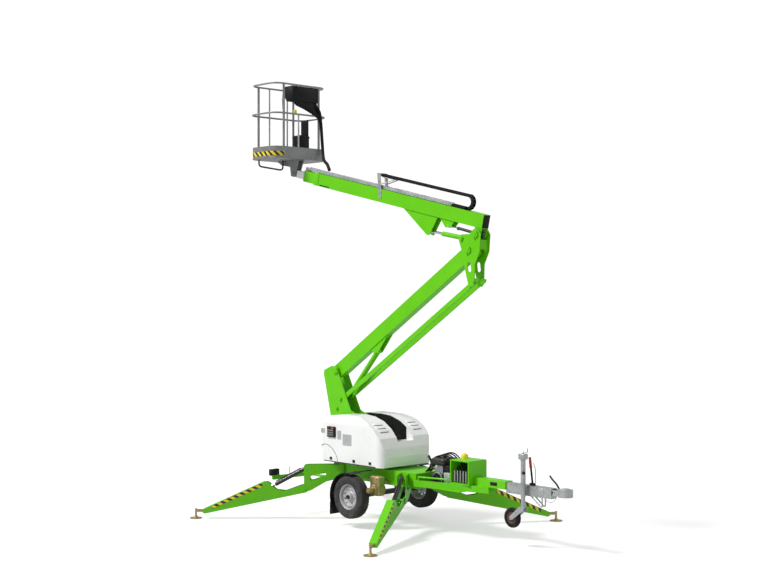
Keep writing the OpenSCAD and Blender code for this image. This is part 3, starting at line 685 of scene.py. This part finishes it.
# ---- tower and boom pins: collars, keeper plates and bolts
pinSetup = [("tower", "slewing_tower", (-0.76, 2.26), 0.106, 0.03),
            ("towerTie", "slewing_tower", (-0.65, 1.82), 0.106, 0.015),
            ("towerRam", "slewing_tower", (-0.735, 1.67), 0.106, 0.015),
            ("kneeLow", "knuckle_frame", (2.08, 4.1), 0.106, 0.03),
            ("kneeTop", "knuckle_frame", (2.22, 4.32), 0.106, 0.03),
            ("kneeTie", "knuckle_frame", (2.19, 3.66), 0.106, 0.015),
            ("kneeRam", "knuckle_frame", (1.95, 4.27), 0.106, 0.018)]
for name, body, (x, z), half, r in pinSetup:
    collars, screws = [], []
    for side in (-1, 1):
        middle = at(x, side * half, z)
        out = Vector((0, side, 0))
        collars.append(lathe([(0.0002, 0.021), (r * 0.72, 0.021), (r * 0.8, 0.019), (r * 1.45, 0.019), (r * 1.6, 0.014),
                              (r * 1.6, 0), (0.0002, 0)], middle, out, steps=36))
        keeper = block((-0.013, -0.003, -r * 1.3), (0.013, 0.003, r * 2.9), edge=0.003)
        keeper.rotation_euler = (0, 0.5, 0)
        keeper.location = middle + out * 0.0215
        collars.append(keeper)
        screws.append((middle + out * 0.0245 + Vector((math.sin(0.5), 0, math.cos(0.5))) * r * 2.4, out, 0.013))
    settle(collars, "pinCollar." + name, body, limePaint)
    boltsOn("pinScrews." + name, body, screws)
print("pins dressed")

# ---- basket: rails, kick board edge, mesh deck, console and step
basketSetup = {"middle": -2.07, "floor": 5.66, "halfX": 0.35, "halfY": 0.565, "corner": 0.18, "deckCorner": 0.17,
               "bars": 17}
basketX, floorTop = basketSetup["middle"], basketSetup["floor"]


def basketRing(inset, z, steps=10):
    hx, hy = basketSetup["halfX"] - inset, basketSetup["halfY"] - inset
    r = basketSetup["corner"] - inset
    ring = []
    for k, (sx, sy) in enumerate(((1, 1), (-1, 1), (-1, -1), (1, -1))):
        for i in range(steps + 1):
            a = math.radians(90 * k + 90 * i / steps)
            ring.append(at(basketX + sx * (hx - r) + math.cos(a) * r, sy * (hy - r) + math.sin(a) * r, z))
    return ring


lip = pipe(basketRing(0.002, floorTop + 0.19), 0.0055, sides=4, closed=True)
foot = pipe(basketRing(0.001, floorTop + 0.008), 0.007, sides=4, closed=True)
settle([lip, foot], "toeBoardEdges", "basket", dullZinc)
stripeRing = basketRing(-0.0012, floorTop + 0.04)[26:44]
toeBand = trace(stripeRing)
takeUp(toeBand)
openMesh()
bpy.ops.mesh.extrude_region_move(TRANSFORM_OT_translate={"value": (0, 0, 0.072)})
bpy.ops.object.mode_set(mode="OBJECT")
bpy.ops.object.transform_apply(location=True, rotation=True, scale=True)
stripeStart = [0]
for a, b in zip(stripeRing, stripeRing[1:]):
    stripeStart.append(stripeStart[-1] + (b - a).length)
stripeLayer = toeBand.data.uv_layers[0] if toeBand.data.uv_layers else toeBand.data.uv_layers.new()
stripeLayer.name = "stripeMap"
for loop in toeBand.data.loops:
    spot = toeBand.data.vertices[loop.vertex_index].co
    nearest = min(range(len(stripeRing)), key=lambda i: (stripeRing[i].xy - spot.xy).length)
    stripeLayer.data[loop.index].uv = (stripeStart[nearest], spot.z - floorTop)
settle(toeBand, "toeStripe", "basket", warningStripes, smooth=0)
bars, deckCorner = [], basketSetup["deckCorner"]
for i in range(basketSetup["bars"]):
    x = basketX + (i - (basketSetup["bars"] - 1) / 2) * 0.04
    past = max(0, abs(x - basketX) - deckCorner)
    inset = 0.03 + deckCorner - math.sqrt(deckCorner ** 2 - past ** 2)
    bars.append(block(at(x - 0.003, -basketSetup["halfY"] + inset, floorTop + 0.0305),
                      at(x + 0.003, basketSetup["halfY"] - inset, floorTop + 0.0375), edge=0.001, steps=1))
settle(bars, "deckTread", "basket", dullZinc)
clamps = []
for sx in (-1, 1):
    for sy in (-1, 1):
        x, y = basketX + sx * 0.328, sy * 0.37
        for z, h in ((0.052, 0.03), (0.73, 0.028), (1.19, 0.02)):
            clamps.append(lathe([(0.0152, -h), (0.0195, -h), (0.0195, h), (0.0152, h), (0.0152, -h)],
                                at(x, y, floorTop + z), (0, 0, 1), steps=24))
        clamps.append(pipe([at(x, y, floorTop + 0.034), at(x, y, floorTop + 1.195)], 0.0195, sides=5))
settle(clamps, "postCollars", "basket", dullZinc)
for name, x, y, top in (("gatePost", -2.398, 0.24, 1.21), ("gatePostFar", -2.398, -0.14, 1.21),
                        ("shortPost", -1.742, -0.06, 0.73)):
    post = pipe([at(x, y, floorTop + 0.19), at(x, y, floorTop + top)], 0.0135, sides=5)
    settle(post, name, "basket", hotZinc)

consoleSetup = {"low": at(-1.98, -0.19, 6.605), "high": at(-1.73, 0.35, 6.855), "switches": 4}
low, high = consoleSetup["low"], consoleSetup["high"]
face = [Vector((low.x, low.y, high.z - 0.002)), Vector((low.x, low.y, low.z + 0.11)),
        Vector((low.x + 0.08, low.y, low.z)), Vector((high.x, low.y, low.z)), Vector((high.x, low.y, high.z - 0.002))]
shell = plate(face, Vector((0, high.y - low.y, 0)), edge=0.012)
settle(shell, "consoleCover", "basket", blackMoulding, smooth=50)
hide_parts("console")
deck = block((low.x + 0.02, low.y + 0.03, high.z - 0.004), (high.x - 0.05, high.y - 0.03, high.z + 0.004), edge=0.003)
settle(deck, "consoleDeck", "basket", rimLacquer)
sticks, boots = [], []
for i in range(consoleSetup["switches"]):
    spot = Vector((low.x + 0.11, low.y + 0.09 + i * 0.105, high.z + 0.004))
    boots.append(lathe([(0.0002, 0.016), (0.006, 0.016), (0.009, 0.01), (0.014, 0.006), (0.018, 0), (0.0002, 0)],
                       spot, (0, 0, 1), steps=24))
    sticks.append(lathe([(0.0002, 0.028), (0.005, 0.027), (0.0055, 0.02), (0.003, 0.014), (0.003, 0.01),
                         (0.0002, 0.01)], spot, (0.12, 0.05, 1), steps=16))
settle(boots, "switchBoots", "basket", blackRubber)
settle(sticks, "switchLevers", "basket", rodChrome)
stop = lathe([(0.0002, 0.026), (0.014, 0.025), (0.019, 0.02), (0.019, 0.014), (0.011, 0.011), (0.011, 0), (0.0002, 0)],
             (low.x + 0.19, high.y - 0.09, high.z + 0.002), (0, 0, 1), steps=28)
settle(stop, "basketStop", "basket", lampLens)

boxLow, boxHigh = at(-2.27, 0.25, 5.69), at(-2.07, 0.45, 6.11)
boxBody = block(boxLow, boxHigh, edge=0.014, steps=4)
boxLid = block(boxLow + Vector((-0.004, -0.004, 0.37)), boxHigh + Vector((0.004, 0.004, -0.02)), edge=0.006)
toolBin = settle([boxBody, boxLid], "toolBin", "basket", blackMoulding)
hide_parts("tool_box")
buzzer = block(at(-1.772, -0.15, floorTop + 0.745), at(-1.728, -0.105, floorTop + 0.8), edge=0.006)
yellowCaps = coatedMaterial("yellowCaps", (0.78, 0.62, 0.01), coat=0.4, rough=(0.3, 0.4), ripple=120, depth=0.05)
settle(buzzer, "basketSounder", "basket", yellowCaps)
lanyardRing = pipe([at(-1.742, -0.372, 6.78), at(-1.75, -0.395, 6.6), at(-1.75, -0.385, 6.46),
                    at(-1.742, -0.372, 6.4)], 0.008, sides=4, bend=0.08)
settle(lanyardRing, "lanyardRing", "basket", hotZinc)
skirt = []
for k, (z, cx, cy, hx, hy) in enumerate(((6.606, -1.82, 0.15, 0.079, 0.185), (6.56, -1.812, 0.168, 0.076, 0.168),
                                         (6.5, -1.78, 0.222, 0.064, 0.122), (6.43, -1.735, 0.29, 0.052, 0.076),
                                         (6.36, -1.69, 0.338, 0.037, 0.044), (6.29, -1.672, 0.356, 0.0285, 0.03))):
    ring = []
    for i in range(32):
        a = 2 * math.pi * i / 32
        c, d = math.cos(a), math.sin(a)
        # the two top rings are square, and the rest grow round
        square = 1 / max(abs(c), abs(d))
        if k > 1:
            square = 1 + (square - 1) * (0.75 - 0.18 * k)
        fold = 1 + 0.022 * math.sin(7 * a + 0.8 * k)
        ring.append(at(cx + hx * c * square * fold, cy + hy * d * square * fold, z))
    skirt.append(ring)
funnel = loft(skirt)
settle(funnel, "consoleFunnel", "basket", blackRubber, smooth=60)
board = [block(at(-2.262, 0.424, 6.1), at(-2.078, 0.44, 6.37), edge=0.006)]
for k in range(6):
    board.append(block(at(-2.255, 0.418, 6.135 + k * 0.04), at(-2.085, 0.425, 6.15 + k * 0.04), edge=0.002, steps=1))
settle(board, "binBoard", "basket", blackMoulding)
stepBar = pipe([at(-2.31, -0.43, 5.661), at(-2.31, -0.43, 5.56), at(-2.11, -0.09, 5.5), at(-2.11, -0.09, 5.661)],
               0.014, sides=5, bend=0.06)
settle(stepBar, "stepBar", "basket", blackEnamel)
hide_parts("step_bar")
print("basket finished")

# ---- the loom that hangs from the console to the boom
loomSetup = {"radius": 0.026, "leavesBasket": 11}
loomRoute = [(-1.757, 0.31, 6.605), (-1.754, 0.311, 6.575), (-1.738, 0.317, 6.542), (-1.706, 0.328, 6.502),
             (-1.681, 0.338, 6.45), (-1.673, 0.348, 6.38), (-1.671, 0.357, 6.28), (-1.67, 0.368, 6.18),
             (-1.671, 0.377, 6.08), (-1.672, 0.386, 5.98), (-1.672, 0.394, 5.9), (-1.668, 0.396, 5.83),
             (-1.652, 0.388, 5.77), (-1.622, 0.369, 5.72), (-1.58, 0.342, 5.675), (-1.53, 0.311, 5.645),
             (-1.46, 0.265, 5.622), (-1.39, 0.219, 5.602), (-1.32, 0.174, 5.582), (-1.255, 0.134, 5.56),
             (-1.21, 0.112, 5.53), (-1.172, 0.096, 5.49), (-1.142, 0.085, 5.452)]
loomPoints = [at(*p) for p in loomRoute]
loom = pipe(loomPoints, loomSetup["radius"], sides=8)
settle(loom, "basketLoom", None, blackRubber, smooth=60)
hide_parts("hose_sleeve")
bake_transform(loom)
print("loom hung")

# ---- power pack: engine, tank, oil tank and the open box of valves
packSetup = {"fins": 7, "finPitch": 0.017, "valves": 5, "valvePitch": 0.055}
engineParts = [block(at(1.372, -0.15, 0.692), at(1.6, 0.15, 0.86), edge=0.018, steps=3),
               block(at(1.395, -0.11, 0.85), at(1.56, 0.06, 0.905), edge=0.014, steps=3)]
castParts = []
for i in range(packSetup["fins"]):
    z = 0.865 + i * packSetup["finPitch"]
    castParts.append(block(at(1.43, -0.135, z), at(1.6, 0.045, z + 0.006), edge=0.0015, steps=1))
castParts += [block(at(1.452, -0.115, 0.86), at(1.578, 0.028, 0.99), edge=0.01),
              disc(at(1.515, -0.158, 0.8), (0, 1, 0), 0.095, 0.02, edge=0.006, sides=40),
              block(at(1.62, -0.14, 0.7), at(1.745, 0.12, 0.9), edge=0.012)]
engine = settle(engineParts, "engineBlock", "chassis", blackEnamel)
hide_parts("power_pack")
settle(castParts, "engineCastings", "chassis", hotZinc)
fan = lathe([(0.0002, 0.012), (0.028, 0.012), (0.032, 0.006), (0.06, 0.004), (0.082, 0.008), (0.088, 0),
             (0.0002, 0)], at(1.515, -0.1668, 0.8), (0, -1, 0), steps=36)
settle(fan, "recoilStarter", "chassis", blackMoulding)
tank = block(at(1.372, -0.155, 0.99), at(1.64, 0.15, 1.095), edge=0.034, steps=5)
settle(tank, "fuelTank", "chassis", blackEnamel)
filler = lathe([(0.0002, 0.02), (0.02, 0.019), (0.024, 0.014), (0.024, 0.004), (0.019, 0), (0.0002, 0)],
               at(1.5, 0.02, 1.095), (0, 0, 1), steps=30)
settle(filler, "fuelCap", "chassis", blackMoulding)
airBox = block(at(1.6, -0.125, 0.905), at(1.745, 0.03, 1), edge=0.018, steps=4)
settle(airBox, "airCleaner", "chassis", blackMoulding)
muffler = disc(at(1.66, 0.095, 0.955), (1, 0, 0), 0.052, 0.17, edge=0.012, sides=32, steps=3)
settle(muffler, "muffler", "chassis", blackEnamel)
exhaust = pipe([at(1.4, -0.085, 0.93), at(1.345, -0.09, 0.95), at(1.33, -0.095, 1.03), at(1.29, -0.115, 1.115)],
               0.019, sides=5, bend=0.03)
settle(exhaust, "exhaustStub", "chassis", blackEnamel)
plugLead = pipe([at(1.575, -0.05, 0.95), at(1.61, -0.075, 1), at(1.66, -0.09, 1.01), at(1.69, -0.11, 0.96)], 0.0045,
                sides=3, bend=0.03)
settle(plugLead, "plugLead", "chassis", blackRubber)
engineBolts = []
for k in range(4):
    a = math.radians(45 + 90 * k)
    engineBolts.append((at(1.515 + 0.078 * math.cos(a), -0.168, 0.8 + 0.078 * math.sin(a)), (0, -1, 0), 0.011))
engineBolts += [(at(x, -0.141, z), (0, -1, 0), 0.012) for x in (1.635, 1.73) for z in (0.715, 0.885)]
boltsOn("engineBolts", "chassis", engineBolts)

valves, rods = [], []
for i in range(packSetup["valves"]):
    x = 1.845 + i * packSetup["valvePitch"]
    valves.append(block(at(x, -0.15, 0.805), at(x + 0.04, 0.05, 0.9), edge=0.006))
    rods.append(pipe([at(x + 0.02, -0.16, 0.8), at(x + 0.02, -0.16, 0.96)], 0.0105, sides=4))
    valves.append(disc(at(x + 0.02, -0.05, 0.935), (0, 0, 1), 0.017, 0.075, edge=0.004, sides=24))
settle(valves, "valveBank", "chassis", blackEnamel)
settle(rods, "valveGuards", "chassis", hotZinc)
dome = lathe([(0.0002, 0.06), (0.02, 0.058), (0.042, 0.046), (0.052, 0.028), (0.055, 0), (0.06, -0.004), (0.06, -0.012),
              (0.0002, -0.012)], at(1.85, 0.06, 1.122), (0, 0, 1), steps=36)
settle(dome, "oilFillerCap", "chassis", yellowCaps)
boxBolts = [(at(x, 0.19, z), (0, 1, 0), 0.012) for x in (1.83, 2.13) for z in (0.8, 1.08)]
boltsOn("packBoxBolts", "chassis", boxBolts)
print("power pack built")


# ---- hydraulic hoses and leads, each ending in what carries it
def hose(name, body, points, radius=0.006, material=blackRubber):
    return settle(pipe(points, radius, sides=4, bend=0.12), name, body, material, smooth=60)


for i, y in enumerate((-0.055, -0.025, 0.02, 0.05)):
    hose("packHose.%d" % i, "chassis",
         [at(1.865 + 0.05 * i, y, 0.86), at(1.8, y, 1.02 + 0.02 * i), at(1.62, y + 0.02, 1.14 + 0.015 * i),
          at(1.34, y, 1.1), at(1.25, y, 0.92), at(1.17, y, 0.855)], 0.01)
# along each outrigger's ram from its pin, and out from its middle
ramOut, ramDown = 0.8808, 0.4735
ramHose = ((0.08, 0.028), (0.085, 0.04), (0.12, 0.0395), (0.48, 0.0395), (0.505, 0.04), (0.51, 0.028))
for key in legPlaces:
    hose("outriggerHose." + key, "cylinder_" + key,
         [onLeg(key, -0.015 + ramOut * s + ramDown * lift, 0, 0.79 - ramDown * s + ramOut * lift)
          for s, lift in ramHose])
print("hoses laid")

# ---- drawbar and hitch
hitchParts = [block(at(3.3, -0.064, 0.735), at(3.42, 0.064, 0.855), edge=0.006),
              disc(at(3.75, 0, 0.872), (0, 0, 1), 0.06, 0.02, edge=0.006, sides=40)]
settle(hitchParts, "hitchSleeve", "chassis", hotZinc)
hitchArm = pipe([at(3.64, 0, 0.868), at(3.6, 0, 0.925), at(3.52, 0, 0.985), at(3.48, 0, 1.03)], 0.013,
                sides=5, bend=0.03)
settle(hitchArm, "hitchHandle", "chassis", blackEnamel)
redGrip = coatedMaterial("redGrip", (0.42, 0.05, 0.03), rough=(0.5, 0.62), ripple=200, depth=0.2)
grip = lathe([(0.0002, 0), (0.015, 0.002), (0.017, 0.008), (0.0175, 0.085), (0.015, 0.105), (0.0002, 0.108)],
             at(3.52, 0, 0.985), at(3.48, 0, 1.03) - at(3.52, 0, 0.985), side=(0, 1, 0), steps=24)
settle(grip, "hitchGrip", "chassis", redGrip)
prop = [pipe([at(x, s * 0.035, z) for x, z in ((3.18, 0.728), (3.345, 0.6), (3.375, 0.6), (3.375, 0.726))], 0.01,
             sides=4, bend=0.02) for s in (-1, 1)]
prop.append(disc(at(3.36, 0, 0.605), (0, 1, 0), 0.009, 0.08, edge=0.002, sides=20))
settle(prop, "hitchProp", "chassis", hotZinc)
safetyCable = pipe([at(3.56, 0.05, 0.79), at(3.52, 0.07, 0.69), at(3.42, 0.075, 0.64), at(3.33, 0.06, 0.7),
                    at(3.29, 0.058, 0.76)], 0.0035, sides=3, bend=0.08)
settle(safetyCable, "breakawayCable", "chassis", hotZinc)
# the jockey wheel's bracket stands where the near side would have its bolt at 3.05
hitchPlaces = ((2.8, 0.8), (2.88, 0.8), (3.33, 0.795), (3.4, 0.795), (3.05, 0.84), (2.96, 0.76))
boltsOn("hitchBolts", "chassis", [(at(x, s * 0.06, z), (0, s, 0), 0.019) for s in (-1, 1)
                                  for x, z in hitchPlaces if not (s == -1 and x == 3.05)])
damper = lathe([(0.0002, 0), (0.045, 0), (0.048, 0.015), (0.041, 0.03), (0.047, 0.045), (0.04, 0.06), (0.046, 0.075),
                (0.038, 0.09), (0.042, 0.105), (0.03, 0.11), (0.0002, 0.11)], at(3.55, 0, 0.815), (1, 0, 0), steps=36)
settle(damper, "hitchGaiter", "chassis", blackRubber)

leverTop = at(3.11, 0.02, 1.24)
leverWay = (leverTop - at(3.16, 0.02, 0.88)).normalized()
handGrip = lathe([(0.0142, -0.15), (0.019, -0.148), (0.02, -0.13), (0.018, -0.1), (0.02, -0.06), (0.018, -0.03),
                  (0.019, 0), (0.012, 0.008), (0.0002, 0.008)], leverTop, leverWay, side=(0, 1, 0), steps=24)
settle(handGrip, "brakeGrip", "chassis", redGrip)
hose("brakeRod", "chassis", [at(3.18, 0.05, 0.875), at(3.19, 0.05, 1.08), at(3.15, 0.05, 1.165)], material=hotZinc)
knob = lathe([(0.0002, 0.024), (0.012, 0.021), (0.02, 0.013), (0.023, 0), (0.02, -0.013), (0.012, -0.021),
              (0.0002, -0.024)], at(3.165, -0.175, 1.05), (0, 1, 0), steps=28)
settle(knob, "jockeyKnob", "chassis", blackMoulding)
hose("jockeyClamp", "chassis", [at(3.15, -0.125, 1.01), at(3.165, -0.15, 1.03), at(3.165, -0.172, 1.048)],
     material=hotZinc)
crank = pipe([at(3.11, -0.12, 1.3), at(3.11, -0.12, 1.33), at(3.19, -0.12, 1.33), at(3.19, -0.12, 1.385)],
             0.008, sides=4, bend=0.015)
settle(crank, "jockeyCrank", "chassis", hotZinc)
headPlate = block(at(3.06, -0.17, 1.225), at(3.16, -0.07, 1.305), edge=0.01, steps=3)
settle(headPlate, "jockeyHead", "chassis", hotZinc)

wheelAt = at(2.92, -0.12, 0.41)
rollerHalf = [(0.0102, -0.028), (0.03, -0.028), (0.034, -0.02), (0.07, -0.016), (0.085, -0.03), (0.105, -0.033),
              (0.128, -0.028), (0.138, -0.016), (0.14, 0)]
rollerTyre = rollerHalf + [(r, -h) for r, h in reversed(rollerHalf[:-1])] + rollerHalf[:1]
roller = lathe(rollerTyre, wheelAt, (0, 1, 0), steps=64)
settle(roller, "jockeyRoller", "jockey_roller", blackRubber)
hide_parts("jockey_wheel")
discPaint = coatedMaterial("discPaint", (0.085, 0.032, 0.025), rough=(0.4, 0.5), ripple=80, depth=0.06, amount=0.15)
for s in (-1, 1):
    cover = lathe([(0.011, 0.0285), (0.028, 0.0285), (0.036, 0.0215), (0.069, 0.0175), (0.08, 0.0215), (0.083, 0.026),
                   (0.078, 0.0265), (0.066, 0.02), (0.036, 0.024), (0.0285, 0.031), (0.011, 0.031), (0.011, 0.0285)],
                  wheelAt, (0, s, 0), steps=48)
    settle(cover, "rollerDisc.%s" % ("a" if s < 0 else "b"), "jockey_roller", discPaint)
darkPlate = block(at(2.47, -0.0812, 0.8), at(2.6, -0.08, 0.85), edge=0.0004, steps=1)
settle(darkPlate, "blankDarkPlate", "chassis", blackMoulding)
print("drawbar dressed")

# ---- lights, traction drives and mudguards
lampSetup = {"side": 0.85, "ribs": 9, "ribPitch": 0.0165}
lensParts, bezels = [], []
for y in (-lampSetup["side"], lampSetup["side"]):
    bezels.append(block(at(-1.4195, y - 0.083, 0.625), at(-1.357, y + 0.083, 0.721), edge=0.006))
    lensParts.append(block(at(-1.431, y - 0.076, 0.634), at(-1.4195, y + 0.076, 0.712), edge=0.005, steps=3))
    for k in range(lampSetup["ribs"]):
        rib = y - 0.07 + k * lampSetup["ribPitch"]
        lensParts.append(block(at(-1.4325, rib, 0.64), at(-1.43, rib + 0.0045, 0.706), edge=0.0008, steps=1))
settle(bezels, "lampBodies", "chassis", blackMoulding)
settle(lensParts, "lampLenses", "chassis", lampLens)
signPlate = block(at(-1.4225, -0.26, 0.575), at(-1.4205, 0.26, 0.685), edge=0.0008, steps=1)
signBack = block(at(-1.4205, -0.2, 0.57), at(-1.38, 0.2, 0.612), edge=0.003)
settle([signPlate, signBack], "blankSign", "chassis", whiteShell)
pins = [pipe([at(-1.36, s * 0.56, 0.62), at(-1.36, s * 0.56, 0.735)], 0.006, sides=4) for s in (-1, 1)]
settle(pins, "lightBarPins", "chassis", hotZinc)
hose("lightLead", "chassis", [at(-1.375, 0.78, 0.635), at(-1.335, 0.6, 0.632), at(-1.325, 0.26, 0.618),
                              at(-1.1, 0.185, 0.612), at(-0.7, 0.185, 0.6), at(-0.56, 0.18, 0.68)])
motorBolts, rings = [], []
for side in (-1, 1):
    middle = at(0.645, side * 0.625, 0.59)
    rings.append(lathe([(0.04, 0.002), (0.068, 0.002), (0.074, -0.002), (0.078, -0.01), (0.078, -0.03),
                        (0.0755, -0.034), (0.0755, -0.06), (0.078, -0.064), (0.078, -0.08), (0.0752, -0.084)],
                       middle, (0, side, 0), steps=48))
    for k in range(6):
        a = math.radians(60 * k)
        spot = middle + Vector((0.058 * math.cos(a), side * 0.002, 0.058 * math.sin(a)))
        motorBolts.append((spot, (0, side, 0), 0.012))
    rings.append(lathe([(0.04, 0.1), (0.0415, 0.098), (0.0415, 0.004), (0.04, 0)], middle, (0, side, 0), steps=40))
    inner, outer = sorted((side * 0.47, side * 0.6))
    rings.append(block(at(0.545, inner, 0.5), at(0.745, outer, 0.79), edge=0.026, steps=4))
    rings.append(lathe([(0.0002, 0.012), (0.05, 0.012), (0.062, 0.008), (0.066, 0), (0.066, -0.002), (0.0002, -0.002)],
                       at(0.65, side * 0.6, 0.715), (0, side, 0), steps=40))
settle(rings, "driveRings", "chassis", yellowZinc)
boltsOn("driveBolts", "chassis", motorBolts, rodChrome)
guardSetup = {"radius": 0.357, "half": 0.11, "from": 75, "to": 205}
guardRims = []
for side in (-1, 1):
    middle = side * axle["side"]
    for edge in (-1, 1):
        arc = []
        for degrees in range(guardSetup["from"], guardSetup["to"] + 1, 5):
            a = math.radians(degrees)
            arc.append(at(axle["x"] + guardSetup["radius"] * math.cos(a), middle + edge * guardSetup["half"],
                          axle["height"] + guardSetup["radius"] * math.sin(a)))
        guardRims.append(pipe(arc, 0.0055, sides=3))
    guardRims.append(block(at(-0.085, middle - 0.1, 0.17), at(-0.075, middle + 0.1, 0.36), edge=0.003))
settle(guardRims, "mudguardRims", "chassis", blackMoulding)
print("lights and drives dressed")

# ---- hose chain: a link plate either side for each link, and the cross bars
chainSetup = {"pitch": 0.052, "low": 0.294, "radius": 0.0925, "back": 0.33, "tail": 0.62, "end": 2.18}
chainMid, loopRadius, pitch = chainSetup["low"] + 0.115, chainSetup["radius"], chainSetup["pitch"]
links, route = [], []
x = chainSetup["tail"] - pitch / 2
while x > chainSetup["back"]:
    route.append((x, chainMid - loopRadius, 180))
    x -= pitch
turns = round(math.pi * loopRadius / pitch)
for i in range(turns + 1):
    a = math.radians(-90 - 180 * i / turns)
    route.append((chainSetup["back"] + loopRadius * math.cos(a), chainMid + loopRadius * math.sin(a),
                  math.degrees(a) - 90))
x = chainSetup["back"] + pitch
while x < chainSetup["end"] - 0.02:
    route.append((x, chainMid + loopRadius, 0))
    x += pitch
oneLink = joinUp([block((-0.0295, 0.0265, -0.0215), (0.0295, 0.0325, 0.0215), edge=0.007),
                  block((-0.0295, -0.0325, -0.0215), (0.0295, -0.0265, 0.0215), edge=0.007),
                  block((-0.01, -0.028, 0.0165), (0.01, 0.028, 0.0215), edge=0.0015, steps=1),
                  block((-0.01, -0.028, -0.0215), (0.01, 0.028, -0.0165), edge=0.0015, steps=1),
                  disc((0.0295, 0, 0), (0, 1, 0), 0.006, 0.0685, edge=0.001, sides=12, steps=1)])
bpy.ops.object.transform_apply(location=True, rotation=True, scale=True)
cosRise, sinRise = math.cos(upperRise), math.sin(upperRise)
basis = Matrix(((-cosRise, 0, sinRise, 0), (0, 1, 0, 0), (sinRise, 0, cosRise, 0), (0, 0, 0, 1)))
for along, up, slope in route:
    turned = basis @ Matrix.Rotation(-math.radians(slope), 4, "Y")
    links.append(copyAt(oneLink, Matrix.Translation(onUpper(along, 0, up)) @ turned))
bpy.data.objects.remove(oneLink)
chainPiece = settle(links, "hoseChain", "up_boom", blackMoulding)
takeUp(chainPiece)
openMesh()
closeMesh()
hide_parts("hose_chain")
boomPlace = Matrix.Translation(at(upperPivot.x, 0, upperPivot.z)) @ basis @ Matrix.Diagonal((1, -1, 1, 1))


def boomBlock(low, high, edge=0.003, steps=2):
    # a block along the upper boom: along it from its pivot, across, out of its top
    obj = block(low, high, edge=edge, steps=steps)
    obj.matrix_world = boomPlace @ Matrix.Translation((Vector(low) + Vector(high)) / 2)
    return obj


def boomPair(low, high, y, half, **edges):
    # two of them, either side of the boom; low and high are along it and out of its top
    return [boomBlock((low[0], s * y - half, low[1]), (high[0], s * y + half, high[1]), **edges) for s in (-1, 1)]


lips = boomPair((0.64, 0.3), (3.955, 0.348), 0.0455, 0.002, edge=0.0015, steps=1)
settle(lips, "trayLips", "fly", hotZinc)
guard = boomBlock((3.973, -0.0435, 0.132), (4.178, 0.0435, 0.256), edge=0.016, steps=4)
settle(guard, "headGuard", "fly", whiteShell)
braces = [boomBlock((1.87, -0.044, 0.47), (2.15, 0.044, 0.4785), edge=0.002, steps=1)]
for s in (-1, 1):
    braces.append(pipe([onUpper(2.14, s * 0.07, 0.365), onUpper(2.12, s * 0.064, 0.372), onUpper(1.9, s * 0.04, 0.462),
                        onUpper(1.88, s * 0.04, 0.47)], 0.008, sides=4, bend=0.02))
settle(braces, "chainBraces", "up_boom", hotZinc)
settle(boomPair((3.575, 0.092), (3.69, 0.296), 0.0715, 0.0035), "boomMouth", "up_boom", limePaint)
slots = boomPair((3.3, 0.104), (3.54, 0.122), 0.07, 0.0016, edge=0.001, steps=1)
slots.append(boomBlock((-0.0625, -0.066, 0.1), (-0.0585, 0.066, 0.288), edge=0.002))
settle(slots, "boomSlots", "up_boom", blackMoulding)

# ---- levelling ram between its own gusset and the upper boom's pivot
gussetEdge = ((0.5, 0.095), (0.56, -0.012), (0.66, -0.022), (0.8, 0.095))
gussets = [plate([onUpper(a, s * 0.046, u) for a, u in gussetEdge], (0, s * 0.01, 0)) for s in (-1, 1)]
settle(gussets, "levelGusset", "up_boom", limePaint)
axis = (onUpper(1, 0, 0) - onUpper(0, 0, 0)).normalized()
ram = [pipe([onUpper(0.05, 0, 0), onUpper(0.46, 0, 0.006)], 0.022, sides=7),
       lathe([(0.0315, -0.02), (0.052, -0.02), (0.055, -0.016), (0.055, 0.016), (0.052, 0.02), (0.0315, 0.02),
              (0.0315, -0.02)], onUpper(0, 0, 0), (0, 1, 0), steps=32)]
for a in (0.07, 0.445):
    ram.append(disc(onUpper(a, 0, 0.003), axis, 0.0255, 0.026, edge=0.003))
settle(ram, "levelRam", "up_boom", blackEnamel)
settle(pipe([onUpper(0.45, 0, 0.006), onUpper(0.6, 0, 0.008)], 0.01, sides=5), "levelRod", "up_boom", rodChrome)
settle(disc(onUpper(0.608, 0, 0.008), (0, 1, 0), 0.017, 0.118, edge=0.002), "levelPin", "up_boom", hotZinc)
hose("levelHose", "up_boom", [onUpper(0.43, 0.018, 0.012), onUpper(0.4, 0.04, -0.01), onUpper(0.24, 0.038, -0.02),
                              onUpper(0.12, 0.036, -0.004), onUpper(0.08, 0.018, 0.008)])
chainHoses = []
for y in (-0.016, 0, 0.016):
    chainHoses.append(pipe([onUpper(a, y, u) for a, u, s in route], 0.007, sides=3))
settle(chainHoses, "chainHoses", "up_boom", blackRubber)
print("hose chain linked,", len(route), "links")

bpy.data.objects.remove(boltPattern)
